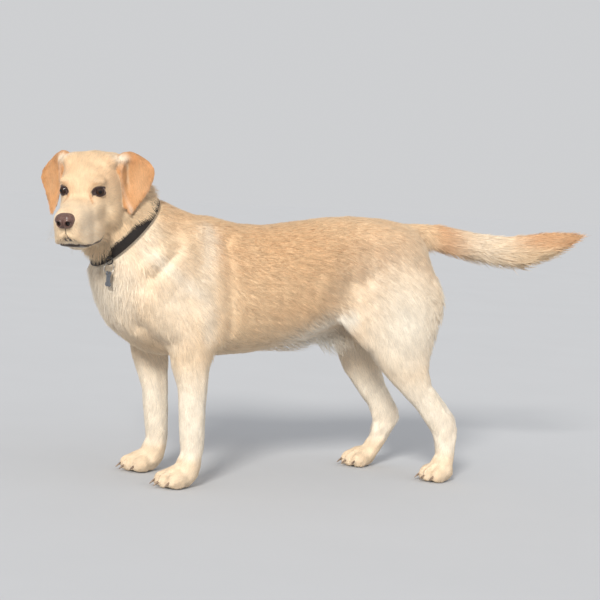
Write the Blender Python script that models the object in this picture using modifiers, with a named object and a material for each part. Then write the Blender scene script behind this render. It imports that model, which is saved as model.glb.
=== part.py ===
"""A yellow Labrador dog standing with its head turned to its left, life size, with its collar and tag.

Metres, +Z up. The dog faces -Y and its left side is +X. The body is modelled whole, from lofts and
ellipsoids fused into one skin, and is then parted by thin cuts where a person would name its parts.
"""

import math

import bmesh
import bpy
from mathutils import Matrix, Vector
from mathutils.bvhtree import BVHTree

NAME = "labrador_dog"
GAP = 0.0003  # between pieces that touch
CUT = 0.0004  # thickness of the cuts that part the body
VOXEL = 0.0036  # grain at which the lofts are fused
BODY_TRIANGLES = 3100
FACE_KEPT = 0.40
FOOT_KEPT = 0.22
# Where face and feet are kept finer: reach from the face's middle, height of the foot, each inner and outer
FACE_MIDDLE = (0.0, -0.015, -0.030)
FACE_FINE = (0.105, 0.150)
FOOT_FINE = (0.035, 0.075)
FACE_THICK = (0.090, 0.160)
FOOT_THICK = (0.030, 0.060)
SMOOTH_BODY = 30  # rounds of smoothing away from face and feet
SMOOTH_ALL = 8
SMOOTH_EAR = 6
SCRAP_FACES = 12  # a loose piece with fewer faces is a crumb of the cuts
SMOOTH_ANGLE = math.radians(40)

LEG_OUT = 0.083  # each foot's distance from the middle plane

EYE_RADIUS = 0.0118
TRUNK_POWER = 2.15  # how square each section is: 2 is an ellipse
SKULL_POWER = 2.25
MUZZLE_POWER = 2.7
JAW_POWER = 2.3
NOSE_POWER = 2.3
NOSE_WIDEST = 0.56  # how far up the nose is widest, as a share
HEAD_PLACE = Vector((0.082, -0.480, 0.599))  # the point midway between the eyes
HEAD_TURN = (math.radians(13.5), math.radians(-2.5), math.radians(53.0))  # nod, lean, turn
HEAD_SIZE = 0.985

COLLAR_PLACE = Vector((0.006, -0.366, 0.531))
COLLAR_AXIS = Vector((0.10, -0.743, 0.66)).normalized()
COLLAR_WIDTH = 0.021
COLLAR_THICK = 0.0034
COLLAR_SINK = 0.0025  # how far the collar presses into the coat
TAG_TURN = math.radians(44)  # where the tag hangs, round from the front to the left
BUCKLE_TURN = math.radians(-62)
BUCKLE = (0.026, 0.0200, 0.0028)  # along the collar, across it, thick
BUCKLE_BAR = 0.0038
HOLDER_LENGTH = 0.0042  # the loop that the first ring hangs in
HOLDER_RADIUS = 0.0034
HOLDER_BORE = 0.0020
HOLDER_OUT = 0.0150  # its middle, out from the collar
HOLDER_TAB = 0.0028  # thickness of the tab that carries it
TAB_SHARE = 0.96  # its width against the loop's length
RING_RADIUS = 0.0072  # the ring in the collar, to the middle of its wire
RING_WIRE = 0.0011
SPLIT_RADIUS = 0.0100  # the thin ring that carries the tag
SPLIT_WIRE = 0.0009
SPLIT_TURN = math.radians(50)  # how far the thin ring turns out of the first one's plane
TAG_LENGTH = 0.031
TAG_LOBE = 0.0046  # radius of each of the bone's four lobes
TAG_THICK = 0.0016
TAG_HOLE = 0.0019
TAG_FACE = math.radians(22)  # the way the tag faces, round from the front to the left

HEAD = (
    Matrix.Translation(HEAD_PLACE)
    @ Matrix.Rotation(HEAD_TURN[2], 4, "Z")
    @ Matrix.Rotation(HEAD_TURN[0], 4, "X")
    @ Matrix.Rotation(HEAD_TURN[1], 4, "Y")
    @ Matrix.Scale(HEAD_SIZE, 4)
)

# Trunk, front to back: place along the body, top, underside, half width
TRUNK = (
    (-0.430, 0.459, 0.418, 0.028),
    (-0.416, 0.480, 0.380, 0.057),
    (-0.394, 0.504, 0.332, 0.078),
    (-0.361, 0.522, 0.300, 0.094),
    (-0.322, 0.541, 0.274, 0.103),
    (-0.280, 0.557, 0.263, 0.108),
    (-0.230, 0.564, 0.259, 0.110),
    (-0.180, 0.562, 0.259, 0.113),
    (-0.120, 0.550, 0.264, 0.118),
    (-0.060, 0.548, 0.272, 0.121),
    (0.000, 0.556, 0.283, 0.121),
    (0.060, 0.567, 0.299, 0.116),
    (0.110, 0.574, 0.318, 0.105),
    (0.160, 0.578, 0.340, 0.095),
    (0.210, 0.578, 0.356, 0.093),
    (0.260, 0.572, 0.370, 0.091),
    (0.300, 0.558, 0.385, 0.080),
    (0.328, 0.530, 0.402, 0.062),
    (0.346, 0.490, 0.425, 0.036),
)

# Neck, from the skull down to the chest: centre, half width, half depth
NECK = (
    ((0.012, -0.432, 0.600), 0.056, 0.058),
    ((0.006, -0.408, 0.575), 0.062, 0.074),
    ((0.004, -0.376, 0.540), 0.070, 0.087),
    ((0.002, -0.335, 0.500), 0.084, 0.106),
    ((0.000, -0.285, 0.462), 0.100, 0.124),
    ((0.000, -0.230, 0.430), 0.104, 0.130),
)

# Tail, root to tip: place back from the root, height, half width, half depth
TAIL = (
    (-0.055, 0.536, 0.026, 0.028),
    (0.000, 0.541, 0.027, 0.031),
    (0.060, 0.539, 0.026, 0.034),
    (0.130, 0.5265, 0.025, 0.0345),
    (0.205, 0.517, 0.024, 0.038),
    (0.265, 0.519, 0.023, 0.0415),
    (0.325, 0.5365, 0.020, 0.035),
    (0.380, 0.556, 0.013, 0.021),
    (0.410, 0.563, 0.006, 0.008),
)
TAIL_ROOT = Vector((0.0, 0.305, 0.0))
TAIL_SWING = math.radians(14)

# Foreleg, top to foot: height, half depth, half width
FORE = (
    (0.400, 0.070, 0.026),
    (0.350, 0.070, 0.036),
    (0.305, 0.056, 0.038),
    (0.262, 0.044, 0.035),
    (0.225, 0.0365, 0.031),
    (0.190, 0.0325, 0.028),
    (0.150, 0.030, 0.026),
    (0.118, 0.0295, 0.0265),
    (0.095, 0.0275, 0.0255),
    (0.070, 0.0255, 0.0245),
    (0.045, 0.027, 0.027),
    (0.022, 0.030, 0.029),
)
# Forelegs' centres along the body at the same heights, left and right
FORE_LEFT = (-0.250, -0.245, -0.238, -0.232, -0.227, -0.223, -0.221, -0.219, -0.217, -0.216, -0.222, -0.230)
FORE_RIGHT = (-0.262, -0.262, -0.264, -0.264, -0.256, -0.248, -0.242, -0.240, -0.237, -0.235, -0.241, -0.249)

# Hind legs, top to foot: height, place along the body, half depth, distance out, half width
HIND_LEFT = (
    (0.470, 0.240, 0.099, 0.062, 0.036),
    (0.420, 0.242, 0.121, 0.074, 0.046),
    (0.380, 0.243, 0.119, 0.078, 0.050),
    (0.340, 0.243, 0.103, 0.080, 0.050),
    (0.300, 0.252, 0.084, 0.082, 0.047),
    (0.260, 0.262, 0.065, 0.084, 0.040),
    (0.220, 0.287, 0.052, 0.085, 0.031),
    (0.180, 0.328, 0.047, 0.087, 0.024),
    (0.150, 0.358, 0.046, 0.088, 0.0215),
    (0.120, 0.376, 0.038, 0.089, 0.0205),
    (0.090, 0.384, 0.029, 0.089, 0.0195),
    (0.060, 0.385, 0.0235, 0.090, 0.0205),
    (0.030, 0.378, 0.028, 0.090, 0.026),
)
HIND_RIGHT = (
    (0.470, 0.240, 0.098, 0.062, 0.036),
    (0.420, 0.240, 0.118, 0.074, 0.046),
    (0.380, 0.238, 0.114, 0.077, 0.050),
    (0.340, 0.236, 0.092, 0.080, 0.049),
    (0.300, 0.240, 0.074, 0.082, 0.045),
    (0.262, 0.246, 0.060, 0.084, 0.039),
    (0.228, 0.252, 0.051, 0.085, 0.032),
    (0.193, 0.272, 0.045, 0.085, 0.025),
    (0.160, 0.298, 0.042, 0.085, 0.0215),
    (0.128, 0.319, 0.040, 0.085, 0.0205),
    (0.104, 0.324, 0.035, 0.085, 0.020),
    (0.074, 0.313, 0.028, 0.085, 0.0195),
    (0.048, 0.297, 0.0245, 0.085, 0.0215),
    (0.026, 0.280, 0.027, 0.085, 0.026),
)

# Head, in its own axes from the point midway between the eyes: centre, half sizes, on both sides
FACE_PAIRS = (
    ((0.037, 0.066, 0.0475), (0.0270, 0.040, 0.0175)),  # temple, up to the root of the ear
    ((0.026, 0.001, 0.0175), (0.024, 0.0165, 0.0150)),  # brow
    ((0.044, 0.040, -0.050), (0.0215, 0.038, 0.038)),  # cheek
    ((0.030, -0.008, -0.034), (0.0165, 0.034, 0.022)),  # below the eye
    ((0.0230, -0.058, -0.0745), (0.0150, 0.040, 0.0300)),  # hanging lip
    ((0.0310, -0.020, -0.0740), (0.0160, 0.034, 0.0240)),  # lip before the corner of the mouth
    ((0.0125, -0.090, -0.066), (0.0150, 0.018, 0.0215)),  # lip under the nose
)
# Skull, muzzle and lower jaw: place back from the eyes, top, underside, half width
SKULL = (
    (-0.026, 0.004, -0.050, 0.024),
    (-0.016, 0.019, -0.066, 0.035),
    (-0.003, 0.036, -0.082, 0.0455),
    (0.014, 0.051, -0.094, 0.0555),
    (0.034, 0.062, -0.103, 0.0635),
    (0.058, 0.068, -0.108, 0.0665),
    (0.084, 0.066, -0.104, 0.0655),
    (0.108, 0.056, -0.090, 0.059),
    (0.128, 0.038, -0.066, 0.045),
    (0.140, 0.014, -0.034, 0.024),
)
MUZZLE = (
    (0.020, 0.004, -0.086, 0.042),
    (-0.012, 0.000, -0.088, 0.0395),
    (-0.034, -0.0075, -0.088, 0.0365),
    (-0.060, -0.012, -0.087, 0.0345),
    (-0.085, -0.0165, -0.083, 0.0325),
    (-0.099, -0.021, -0.078, 0.028),
    (-0.107, -0.029, -0.072, 0.019),
)
JAW = (
    (0.060, -0.070, -0.114, 0.038),
    (0.020, -0.080, -0.115, 0.032),
    (-0.016, -0.083, -0.1135, 0.027),
    (-0.040, -0.082, -0.1120, 0.0240),
    (-0.056, -0.080, -0.1100, 0.0210),
    (-0.067, -0.080, -0.1040, 0.0150),
    (-0.074, -0.081, -0.0960, 0.0080),
)
NOSE = (
    (-0.090, -0.0260, -0.0480, 0.0130),
    (-0.096, -0.0215, -0.0500, 0.0180),
    (-0.106, -0.0215, -0.0500, 0.0190),
    (-0.113, -0.0245, -0.0485, 0.0172),
    (-0.1170, -0.0300, -0.0450, 0.0115),
)
NOSTRIL = ((0.0088, -0.1150, -0.0385), (0.0040, 0.0050, 0.0052))
MOUTH_LINE = (
    (-0.120, -0.094),
    (-0.090, -0.098),
    (-0.050, -0.1045),
    (-0.010, -0.102),
    (0.016, -0.098),
    (0.045, -0.108),
    (0.070, -0.130),
    (0.090, -0.170),
)

# Ear, in the head's axes, from its fold at the top to its tip: front edge, middle, rear edge
EAR = (
    ((0.048, 0.058, 0.046), (0.052, 0.083, 0.050), (0.056, 0.106, 0.036)),
    ((0.059, 0.052, 0.056), (0.067, 0.083, 0.0625), (0.076, 0.110, 0.047)),
    ((0.067, 0.050, 0.045), (0.083, 0.080, 0.050), (0.108, 0.100, 0.036)),
    ((0.068, 0.051, 0.020), (0.085, 0.077, 0.022), (0.128, 0.094, 0.010)),
    ((0.070, 0.052, -0.010), (0.086, 0.073, -0.010), (0.120, 0.089, -0.022)),
    ((0.075, 0.052, -0.036), (0.089, 0.067, -0.036), (0.109, 0.078, -0.043)),
    ((0.083, 0.051, -0.056), (0.091, 0.056, -0.056), (0.101, 0.063, -0.058)),
    ((0.088, 0.050, -0.066), (0.091, 0.052, -0.066), (0.094, 0.055, -0.066)),
)
# The left ear swings forward with the turn of the head: how far each of its rows lies from its mirror place
EAR_LEFT_SWING = (
    (0.000, 0.000, 0.000),
    (0.000, 0.000, 0.000),
    (0.002, 0.000, 0.002),
    (-0.004, 0.000, 0.010),
    (-0.007, -0.001, 0.010),
    (-0.010, -0.003, 0.009),
    (-0.012, -0.005, 0.008),
    (-0.013, -0.006, 0.008),
)
EAR_THICK = 0.0048
EAR_ROOTS = (((0.056, 0.084, 0.022), (0.022, 0.029, 0.032)), ((0.055, 0.070, 0.034), (0.0165, 0.021, 0.019)))

# Muscles on each side, as ellipsoids: one end, other end, half size outwards, half size along the side
MUSCLES = (
    ((0.054, -0.195, 0.545), (0.086, -0.350, 0.350), 0.036, 0.066),  # shoulder blade
    ((0.088, -0.368, 0.400), (0.086, -0.180, 0.285), 0.034, 0.048),  # upper arm
    ((0.082, -0.150, 0.470), (0.086, -0.185, 0.285), 0.027, 0.044),  # behind the upper arm
    ((0.030, -0.410, 0.432), (0.054, -0.320, 0.300), 0.032, 0.036),  # breast
    ((0.044, 0.110, 0.535), (0.062, 0.335, 0.450), 0.044, 0.066),  # rump
    ((0.088, 0.090, 0.405), (0.090, 0.215, 0.285), 0.020, 0.040),  # fold of the flank
)
SHEATH = ((0, 0.075, 0.300), (0, 0.210, 0.338), 0.020, 0.022)

# Middle of each heel on the floor
HEELS = (
    ("front_left", 0.084, -0.204),
    ("front_right", -0.084, -0.223),
    ("hind_left", 0.091, 0.408),
    ("hind_right", -0.086, 0.302),
)
PAW_LENGTH = 0.090
PAW_WIDTH = 0.070
TOES = ((-0.38, 0.18), (-0.15, 0.0), (0.15, 0.0), (0.38, 0.18))  # share of the width out, of the length back
TOE_SPREAD = math.radians(16)
TOES_AHEAD = 0.74  # share of the paw's length from the heel to the middle of the toes
TOE_REACH = 0.0235
TOE_HEIGHT = 0.0168
TOE_HALF = 0.0122
TOE_DEEP = 0.0200
# The instep and the heel pad: place ahead of the heel, height, half sizes
PAW_LUMPS = (
    (-0.0378, 0.0220, (0.031, 0.038, 0.0250)),
    (-0.0300, 0.0120, (0.024, 0.022, 0.0160)),
)
HIND_PAW = 0.92  # size of a hind paw against a front one
CLAW_LENGTH = 0.0150
CLAW_RADIUS = 0.0033
CLAW_RINGS = 3
CLAW_ROOT = 0.0085  # how far inside the toe it starts
CLAW_HEIGHT = 0.0163
CLAW_DROP = 0.0105
CLAW_TAPER = 0.72
CLAW_NARROW = 0.8  # its width against its depth

EYE_PLACE = (0.0360, -0.0018, 0.0)
MOUTH_CUT = 0.075  # how far out the cut of the mouth reaches
EAR_ROWS = 14
EAR_COLUMNS = 8
EAR_VOXEL = 0.0022
EAR_TRIANGLES = 300
COLLAR_SIDES = 28

# Sloping arches that part the limbs from the trunk: place along the body, reach, top, rise, drop,
# distance out where it starts, slope
SHOULDER_ARCH = (-0.255, 0.100, 0.253, 0.060, 0.100, 0.018, 1.65)
HIP_ARCH = (0.250, 0.150, 0.315, 0.100, 0.100, 0.012, 1.40)
ARCH_OUT = 0.175
ARCH_STEPS = 10
# Flat cuts: name, centre, normal, half across, half tall
CUTS = (
    ("nape", (0.000, -0.408, 0.575), (0.35, -0.86, 0.42), 0.120, 0.125),
    ("neck", (0.000, -0.330, 0.510), (0.0, -0.60, 0.80), 0.165, 0.170),
    ("tail", (0.006, 0.334, 0.542), (0.14, 0.86, 0.48), 0.060, 0.056),
    ("elbow_left", (0.086, -0.228, 0.268), (-0.35, 0.0, 1.0), 0.060, 0.085),
    ("elbow_right", (-0.086, -0.262, 0.268), (0.35, 0.0, 1.0), 0.060, 0.085),
    ("wrist_left", (0.083, -0.216, 0.070), (0.0, 0.2, 1.0), 0.045, 0.050),
    ("wrist_right", (-0.083, -0.236, 0.070), (0.0, 0.2, 1.0), 0.045, 0.050),
    ("knee_left", (0.086, 0.285, 0.232), (0.0, -0.72, 1.0), 0.055, 0.105),
    ("knee_right", (-0.086, 0.255, 0.232), (0.0, -0.55, 1.0), 0.055, 0.090),
    ("hock_left", (0.089, 0.372, 0.142), (0.0, -0.45, 1.0), 0.040, 0.060),
    ("hock_right", (-0.085, 0.312, 0.138), (0.0, -0.15, 1.0), 0.040, 0.065),
    ("toes_left", (0.090, 0.385, 0.055), (0.0, 0.1, 1.0), 0.045, 0.050),
    ("toes_right", (-0.085, 0.298, 0.058), (0.0, 0.35, 1.0), 0.045, 0.050),
)
# Where each part of the body has its middle
PLACES = {
    "trunk": (0.0, -0.05, 0.43),
    "neck": (0.0, -0.36, 0.53),
    "head": (0.060, -0.465, 0.590),
    "lower_jaw": (0.075, -0.475, 0.495),
    "tail": (0.045, 0.50, 0.53),
    "upper_arm_left": (0.095, -0.26, 0.33),
    "upper_arm_right": (-0.095, -0.27, 0.33),
    "forearm_left": (0.083, -0.222, 0.17),
    "forearm_right": (-0.083, -0.245, 0.17),
    "paw_front_left": (0.083, -0.24, 0.03),
    "paw_front_right": (-0.083, -0.26, 0.03),
    "thigh_left": (0.085, 0.24, 0.36),
    "thigh_right": (-0.085, 0.24, 0.36),
    "shank_left": (0.087, 0.32, 0.19),
    "shank_right": (-0.085, 0.28, 0.19),
    "pastern_left": (0.089, 0.385, 0.10),
    "pastern_right": (-0.085, 0.318, 0.10),
    "paw_hind_left": (0.090, 0.37, 0.03),
    "paw_hind_right": (-0.086, 0.26, 0.03),
}

COAT = (0.74, 0.55, 0.33)
EAR_TAN = (0.68, 0.40, 0.18)
NOSE_BROWN = (0.17, 0.085, 0.07)
EYE_BROWN = (0.045, 0.020, 0.010)
HORN = (0.24, 0.18, 0.13)
LEATHER = (0.018, 0.015, 0.014)
STEEL = (0.55, 0.55, 0.54)
TAG_GREY = (0.30, 0.31, 0.33)


def material(name, colour, roughness, metallic=0.0):
    made = bpy.data.materials.get(name) or bpy.data.materials.new(name)
    made.use_nodes = True
    shader = made.node_tree.nodes["Principled BSDF"]
    shader.inputs["Base Color"].default_value = (*colour, 1.0)
    shader.inputs["Roughness"].default_value = roughness
    shader.inputs["Metallic"].default_value = metallic
    return made


def collection(name):
    made = bpy.data.collections.new(name)
    bpy.context.scene.collection.children.link(made)
    return made


def add(name, mesh, group):
    made = bpy.data.objects.new(name, mesh)
    group.objects.link(made)
    return made


def remove(thing):
    mesh = thing.data
    bpy.data.objects.remove(thing)
    bpy.data.meshes.remove(mesh)


def from_bmesh(name, shape, group):
    mesh = bpy.data.meshes.new(name)
    shape.to_mesh(mesh)
    shape.free()
    return add(name, mesh, group)


def superellipse(angle, half_a, up, down, power):
    c = math.cos(angle)
    s = math.sin(angle)
    reach = up if s > 0 else down
    across = math.copysign(abs(c) ** (2 / power), c)
    rise = math.copysign(abs(s) ** (2 / power), s)
    return half_a * across, reach * rise


def loft(shape, rings):
    """Closed skin through rings of like points, with a cap on each end."""
    rows = [[shape.verts.new(point) for point in ring] for ring in rings]
    count = len(rows[0])
    for a, b in zip(rows, rows[1:]):
        for i in range(count):
            j = (i + 1) % count
            shape.faces.new((a[i], a[j], b[j], b[i]))
    shape.faces.new(list(reversed(rows[0])))
    shape.faces.new(rows[-1])


def upright_rings(stations, power, widest=0.52, sides=24):
    """Rings that stand across the body's length: place, top, underside, half width."""
    rings = []
    for place, top, bottom, half in stations:
        middle = bottom + widest * (top - bottom)
        ring = []
        for i in range(sides):
            x, z = superellipse(2 * math.pi * i / sides, half, top - middle, middle - bottom, power)
            ring.append(Vector((x, place, middle + z)))
        rings.append(ring)
    return rings


def level_ring(x, y, z, half_x, half_y, power=2.2, sides=16):
    ring = []
    for i in range(sides):
        dx, dy = superellipse(2 * math.pi * i / sides, half_x, half_y, half_y, power)
        ring.append(Vector((x + dx, y + dy, z)))
    return ring


def path_rings(stations, sides=20):
    """Rings square to the path through their centres: centre, half width, half depth."""
    rings = []
    centres = [Vector(row[0]) for row in stations]
    for i, (_, half_width, half_depth) in enumerate(stations):
        ahead = centres[min(i + 1, len(centres) - 1)] - centres[max(i - 1, 0)]
        side = Vector((0, 0, 1)).cross(ahead).normalized()
        rise = ahead.cross(side).normalized()
        ring = []
        for k in range(sides):
            angle = 2 * math.pi * k / sides
            ring.append(
                centres[i] + side * half_width * math.cos(angle) + rise * half_depth * math.sin(angle)
            )
        rings.append(ring)
    return rings


def ellipsoid(shape, centre, halves, place=Matrix.Identity(4), turn=(0, 0, 0), detail=20):
    tilt = Matrix.Rotation(turn[2], 4, "Z") @ Matrix.Rotation(turn[0], 4, "X")
    tilt = tilt @ Matrix.Rotation(turn[1], 4, "Y")
    matrix = place @ Matrix.Translation(centre) @ tilt @ Matrix.Diagonal((*halves, 1))
    bmesh.ops.create_uvsphere(shape, u_segments=detail, v_segments=detail // 2, radius=1, matrix=matrix)


def muscle(shape, start, end, out, deep):
    """An ellipsoid laid from one point to another: half its size out from the body, and along its side."""
    start = Vector(start)
    end = Vector(end)
    along = end - start
    length = along.length / 2
    along.normalize()
    sideways = (Vector((1, 0, 0)) - along * along.x).normalized()
    turn = Matrix((sideways, along.cross(sideways), along)).transposed().to_4x4()
    matrix = Matrix.Translation((start + end) / 2) @ turn @ Matrix.Diagonal((out, deep, length, 1))
    bmesh.ops.create_uvsphere(shape, u_segments=20, v_segments=12, radius=1, matrix=matrix)


def trunk_and_neck(shape):
    loft(shape, upright_rings(TRUNK, TRUNK_POWER))
    loft(shape, path_rings(NECK))
    for side in (1, -1):
        for (x, y, z), (x_end, y_end, z_end), out, deep in MUSCLES:
            muscle(shape, (side * x, y, z), (side * x_end, y_end, z_end), out, deep)
    muscle(shape, *SHEATH)
    loft(shape, tail_rings())


def tail_rings():
    heading = Vector((math.sin(TAIL_SWING), math.cos(TAIL_SWING), 0))
    stations = []
    for along, height, half_width, half_depth in TAIL:
        centre = TAIL_ROOT + heading * along
        stations.append(((centre.x, centre.y, height), half_width, half_depth))
    return path_rings(stations)


def legs(shape):
    for side, places in ((1, FORE_LEFT), (-1, FORE_RIGHT)):
        rings = [
            level_ring(side * LEG_OUT, place, height, half_width, half_depth)
            for (height, half_depth, half_width), place in zip(FORE, places)
        ]
        loft(shape, rings[::-1])
    for side, stations in ((1, HIND_LEFT), (-1, HIND_RIGHT)):
        rings = [
            level_ring(side * out, place, height, half_width, half_depth)
            for height, place, half_depth, out, half_width in stations
        ]
        loft(shape, rings[::-1])


def feet():
    """Each foot: its name, and the middle of its heel on the floor."""
    return tuple((name, Vector((x, y, 0))) for name, x, y in HEELS)


def toe_places(heel, hind):
    """Middle of each toe's pad, with how far it turns outwards."""
    size = HIND_PAW if hind else 1.0
    places = []
    for out, back in TOES:
        x = heel.x + out * PAW_WIDTH * size
        y = heel.y - PAW_LENGTH * size * (TOES_AHEAD - back)
        places.append((Vector((x, y, 0)), -TOE_SPREAD * out))
    return places


def paw(shape, heel, hind):
    size = HIND_PAW if hind else 1.0
    for back, up, halves in PAW_LUMPS:
        centre = heel + Vector((0, back * (size if up > TOE_HEIGHT else 1.0), up))
        ellipsoid(shape, centre, (halves[0] * size, halves[1] * size, halves[2]))
    for place, heading in toe_places(heel, hind):
        centre = place + Vector((0, 0, TOE_HEIGHT))
        ellipsoid(shape, centre, (TOE_HALF * size, TOE_REACH * size, TOE_DEEP), turn=(0, 0, -heading))


def head(shape):
    for centre, halves in FACE_PAIRS:
        for side in (1, -1):
            ellipsoid(shape, (side * centre[0], centre[1], centre[2]), halves, HEAD)
    for stations, power in ((SKULL, SKULL_POWER), (MUZZLE, MUZZLE_POWER), (JAW, JAW_POWER)):
        rings = [[HEAD @ point for point in ring] for ring in upright_rings(stations, power)]
        loft(shape, rings)


def fused(name, shape, voxel, smoothing, group):
    """One skin round overlapping closed shapes, smoothed by (rounds, where)."""
    bmesh.ops.recalc_face_normals(shape, faces=shape.faces)
    thing = from_bmesh(name, shape, group)
    remesh = thing.modifiers.new("fuse", "REMESH")
    remesh.mode = "VOXEL"
    remesh.voxel_size = voxel
    thing = baked(thing)
    for rounds, weight in smoothing:
        smooth = thing.modifiers.new("smooth", "SMOOTH")
        smooth.factor = 0.5
        smooth.iterations = rounds
        if weight:
            smooth.vertex_group = weigh(thing, weight)
        thing = baked(thing)
    return thing


def weigh(thing, weight):
    """A vertex group whose weights come from each point's place."""
    group = thing.vertex_groups.new(name="where")
    for vertex in thing.data.vertices:
        group.add([vertex.index], weight(vertex.co), "REPLACE")
    return group.name


def baked(thing):
    """The same object with its modifiers applied."""
    depsgraph = bpy.context.evaluated_depsgraph_get()
    mesh = bpy.data.meshes.new_from_object(thing.evaluated_get(depsgraph))
    old = thing.data
    thing.modifiers.clear()
    thing.vertex_groups.clear()
    thing.data = mesh
    bpy.data.meshes.remove(old)
    return thing


def near(point, centre, inner, outer):
    """1 inside the inner radius, falling to 0 at the outer one."""
    share = (outer - (point - centre).length) / (outer - inner)
    return min(max(share, 0.0), 1.0)


def fineness(point):
    """How finely a place is shaped: 1 on face and feet, 0 on the flat of the body."""
    face = near(point, HEAD @ Vector(FACE_MIDDLE), *FACE_FINE)
    foot = min(max((FOOT_FINE[1] - point.z) / (FOOT_FINE[1] - FOOT_FINE[0]), 0.0), 1.0)
    return max(face, foot)


def coarseness(point):
    """The share of its points that a place keeps when the body is thinned."""
    face = near(point, HEAD @ Vector(FACE_MIDDLE), *FACE_THICK)
    foot = min(max((FOOT_THICK[1] - point.z) / (FOOT_THICK[1] - FOOT_THICK[0]), 0.0), 1.0)
    return max(FACE_KEPT * face, FOOT_KEPT * foot)


def body_whole(group):
    shape = bmesh.new()
    trunk_and_neck(shape)
    legs(shape)
    head(shape)
    for name, heel in feet():
        paw(shape, heel, name.startswith("hind"))
    smoothing = ((SMOOTH_BODY, lambda p: 1 - fineness(p)), (SMOOTH_ALL, None))
    body = fused("body", shape, VOXEL, smoothing, group)
    thin = body.modifiers.new("thin", "DECIMATE")
    thin.vertex_group = weigh(body, lambda p: 1 - coarseness(p))
    thin.vertex_group_factor = 1.0
    faces = sum(len(polygon.vertices) - 2 for polygon in body.data.polygons)
    thin.ratio = BODY_TRIANGLES / faces
    return baked(body)


def difference(thing, cutter):
    """Cuts one object by another, which stays as a guide."""
    cut = thing.modifiers.new("cut", "BOOLEAN")
    cut.operation = "DIFFERENCE"
    cut.solver = "EXACT"
    cut.object = cutter
    baked(thing)


def merged(thing, other):
    """Joins another shape to an object for good."""
    join = thing.modifiers.new("join", "BOOLEAN")
    join.operation = "UNION"
    join.solver = "EXACT"
    join.object = other
    return baked(thing)


def as_guide(thing):
    """Marks an object as a cutter, which isn't part of the dog."""
    thing.hide_render = True
    thing.display_type = "WIRE"
    return thing


def guide(name, shape, cutters):
    bmesh.ops.recalc_face_normals(shape, faces=shape.faces)
    return as_guide(from_bmesh(name, shape, cutters))


def plate(name, centre, normal, half_across, half_tall, cutters):
    """A thin flat cutter, square to its normal, level across."""
    normal = Vector(normal).normalized()
    across = Vector((0, 0, 1)).cross(normal)
    if across.length < 0.3:
        across = Vector((1, 0, 0))
    across = (across - normal * across.dot(normal)).normalized()
    tall = normal.cross(across)
    frame = Matrix((across, tall, normal)).transposed().to_4x4()
    shape = bmesh.new()
    scale = Matrix.Diagonal((2 * half_across, 2 * half_tall, CUT, 1))
    bmesh.ops.create_cube(shape, size=1, matrix=Matrix.Translation(centre) @ frame @ scale)
    return guide(name, shape, cutters)


def sheet(name, rows, cutters):
    """A thin cutter that follows rows of points."""
    shape = bmesh.new()
    grid = [[shape.verts.new(point) for point in row] for row in rows]
    for a, b in zip(grid, grid[1:]):
        for i in range(len(a) - 1):
            shape.faces.new((a[i], a[i + 1], b[i + 1], b[i]))
    made = guide(name, shape, cutters)
    wall = made.modifiers.new("wall", "SOLIDIFY")
    wall.thickness = CUT
    wall.offset = 0
    return baked(made)


def limb_arch(name, side, arch, cutters):
    """A sloping arch over a limb's root: it leaves the flesh in the middle and comes out high on the side."""
    middle, reach, top, rise, drop, inner, slope = arch
    rows = []
    for x in (inner, ARCH_OUT):
        lift = slope * (x - inner)
        row = [Vector((side * x, middle - reach, top - rise - drop + lift))]
        for k in range(ARCH_STEPS + 1):
            angle = math.pi * k / ARCH_STEPS
            y = middle - reach * math.cos(angle)
            row.append(Vector((side * x, y, top - rise + rise * math.sin(angle) + lift)))
        row.append(Vector((side * x, middle + reach, top - rise - drop + lift)))
        rows.append(row)
    return sheet(name, rows, cutters)


def body_cutters(cutters):
    """The thin cuts that part the body where a person would name its parts."""
    made = []
    for side, word in ((1, "left"), (-1, "right")):
        made.append(limb_arch("cut_shoulder_" + word, side, SHOULDER_ARCH, cutters))
        made.append(limb_arch("cut_hip_" + word, side, HIP_ARCH, cutters))
    for name, centre, normal, half_across, half_tall in CUTS:
        made.append(plate("cut_" + name, centre, normal, half_across, half_tall, cutters))
    rows = [[HEAD @ Vector((x, y, z)) for y, z in MOUTH_LINE] for x in (-MOUTH_CUT, MOUTH_CUT)]
    made.append(sheet("cut_mouth", rows, cutters))
    return made


def parted(body, group):
    """Each loose piece of the cut body as its own object, named by the place nearest its middle."""
    shape = bmesh.new()
    shape.from_mesh(body.data)
    pieces = []
    unseen = set(shape.verts)
    while unseen:
        start = next(vertex for vertex in shape.verts if vertex in unseen)
        found = {start}
        edge_of = [start]
        while edge_of:
            vertex = edge_of.pop()
            for edge in vertex.link_edges:
                other = edge.other_vert(vertex)
                if other not in found:
                    found.add(other)
                    edge_of.append(other)
        unseen -= found
        pieces.append(found)
    named = {}
    for piece in pieces:
        index = {}
        points = []
        for vertex in shape.verts:
            if vertex in piece:
                index[vertex] = len(points)
                points.append(vertex.co.copy())
        faces = [[index[v] for v in face.verts] for face in shape.faces if face.verts[0] in piece]
        if len(faces) < SCRAP_FACES:
            continue
        middle = sum((Vector(p) for p in points), Vector()) / len(points)
        name = min(PLACES, key=lambda key: (Vector(PLACES[key]) - middle).length)
        if name in named:
            raise RuntimeError(f"two pieces are nearest {name}: {middle}")
        mesh = bpy.data.meshes.new(name)
        mesh.from_pydata(points, [], faces)
        named[name] = add(name, mesh, group)
    shape.free()
    missing = sorted(set(PLACES) - set(named))
    if missing:
        raise RuntimeError(f"no piece near {missing}")
    remove(body)
    return named


def bezier(a, b, c, share):
    return a * (1 - share) ** 2 + b * (2 * share * (1 - share)) + c * share**2


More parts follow.
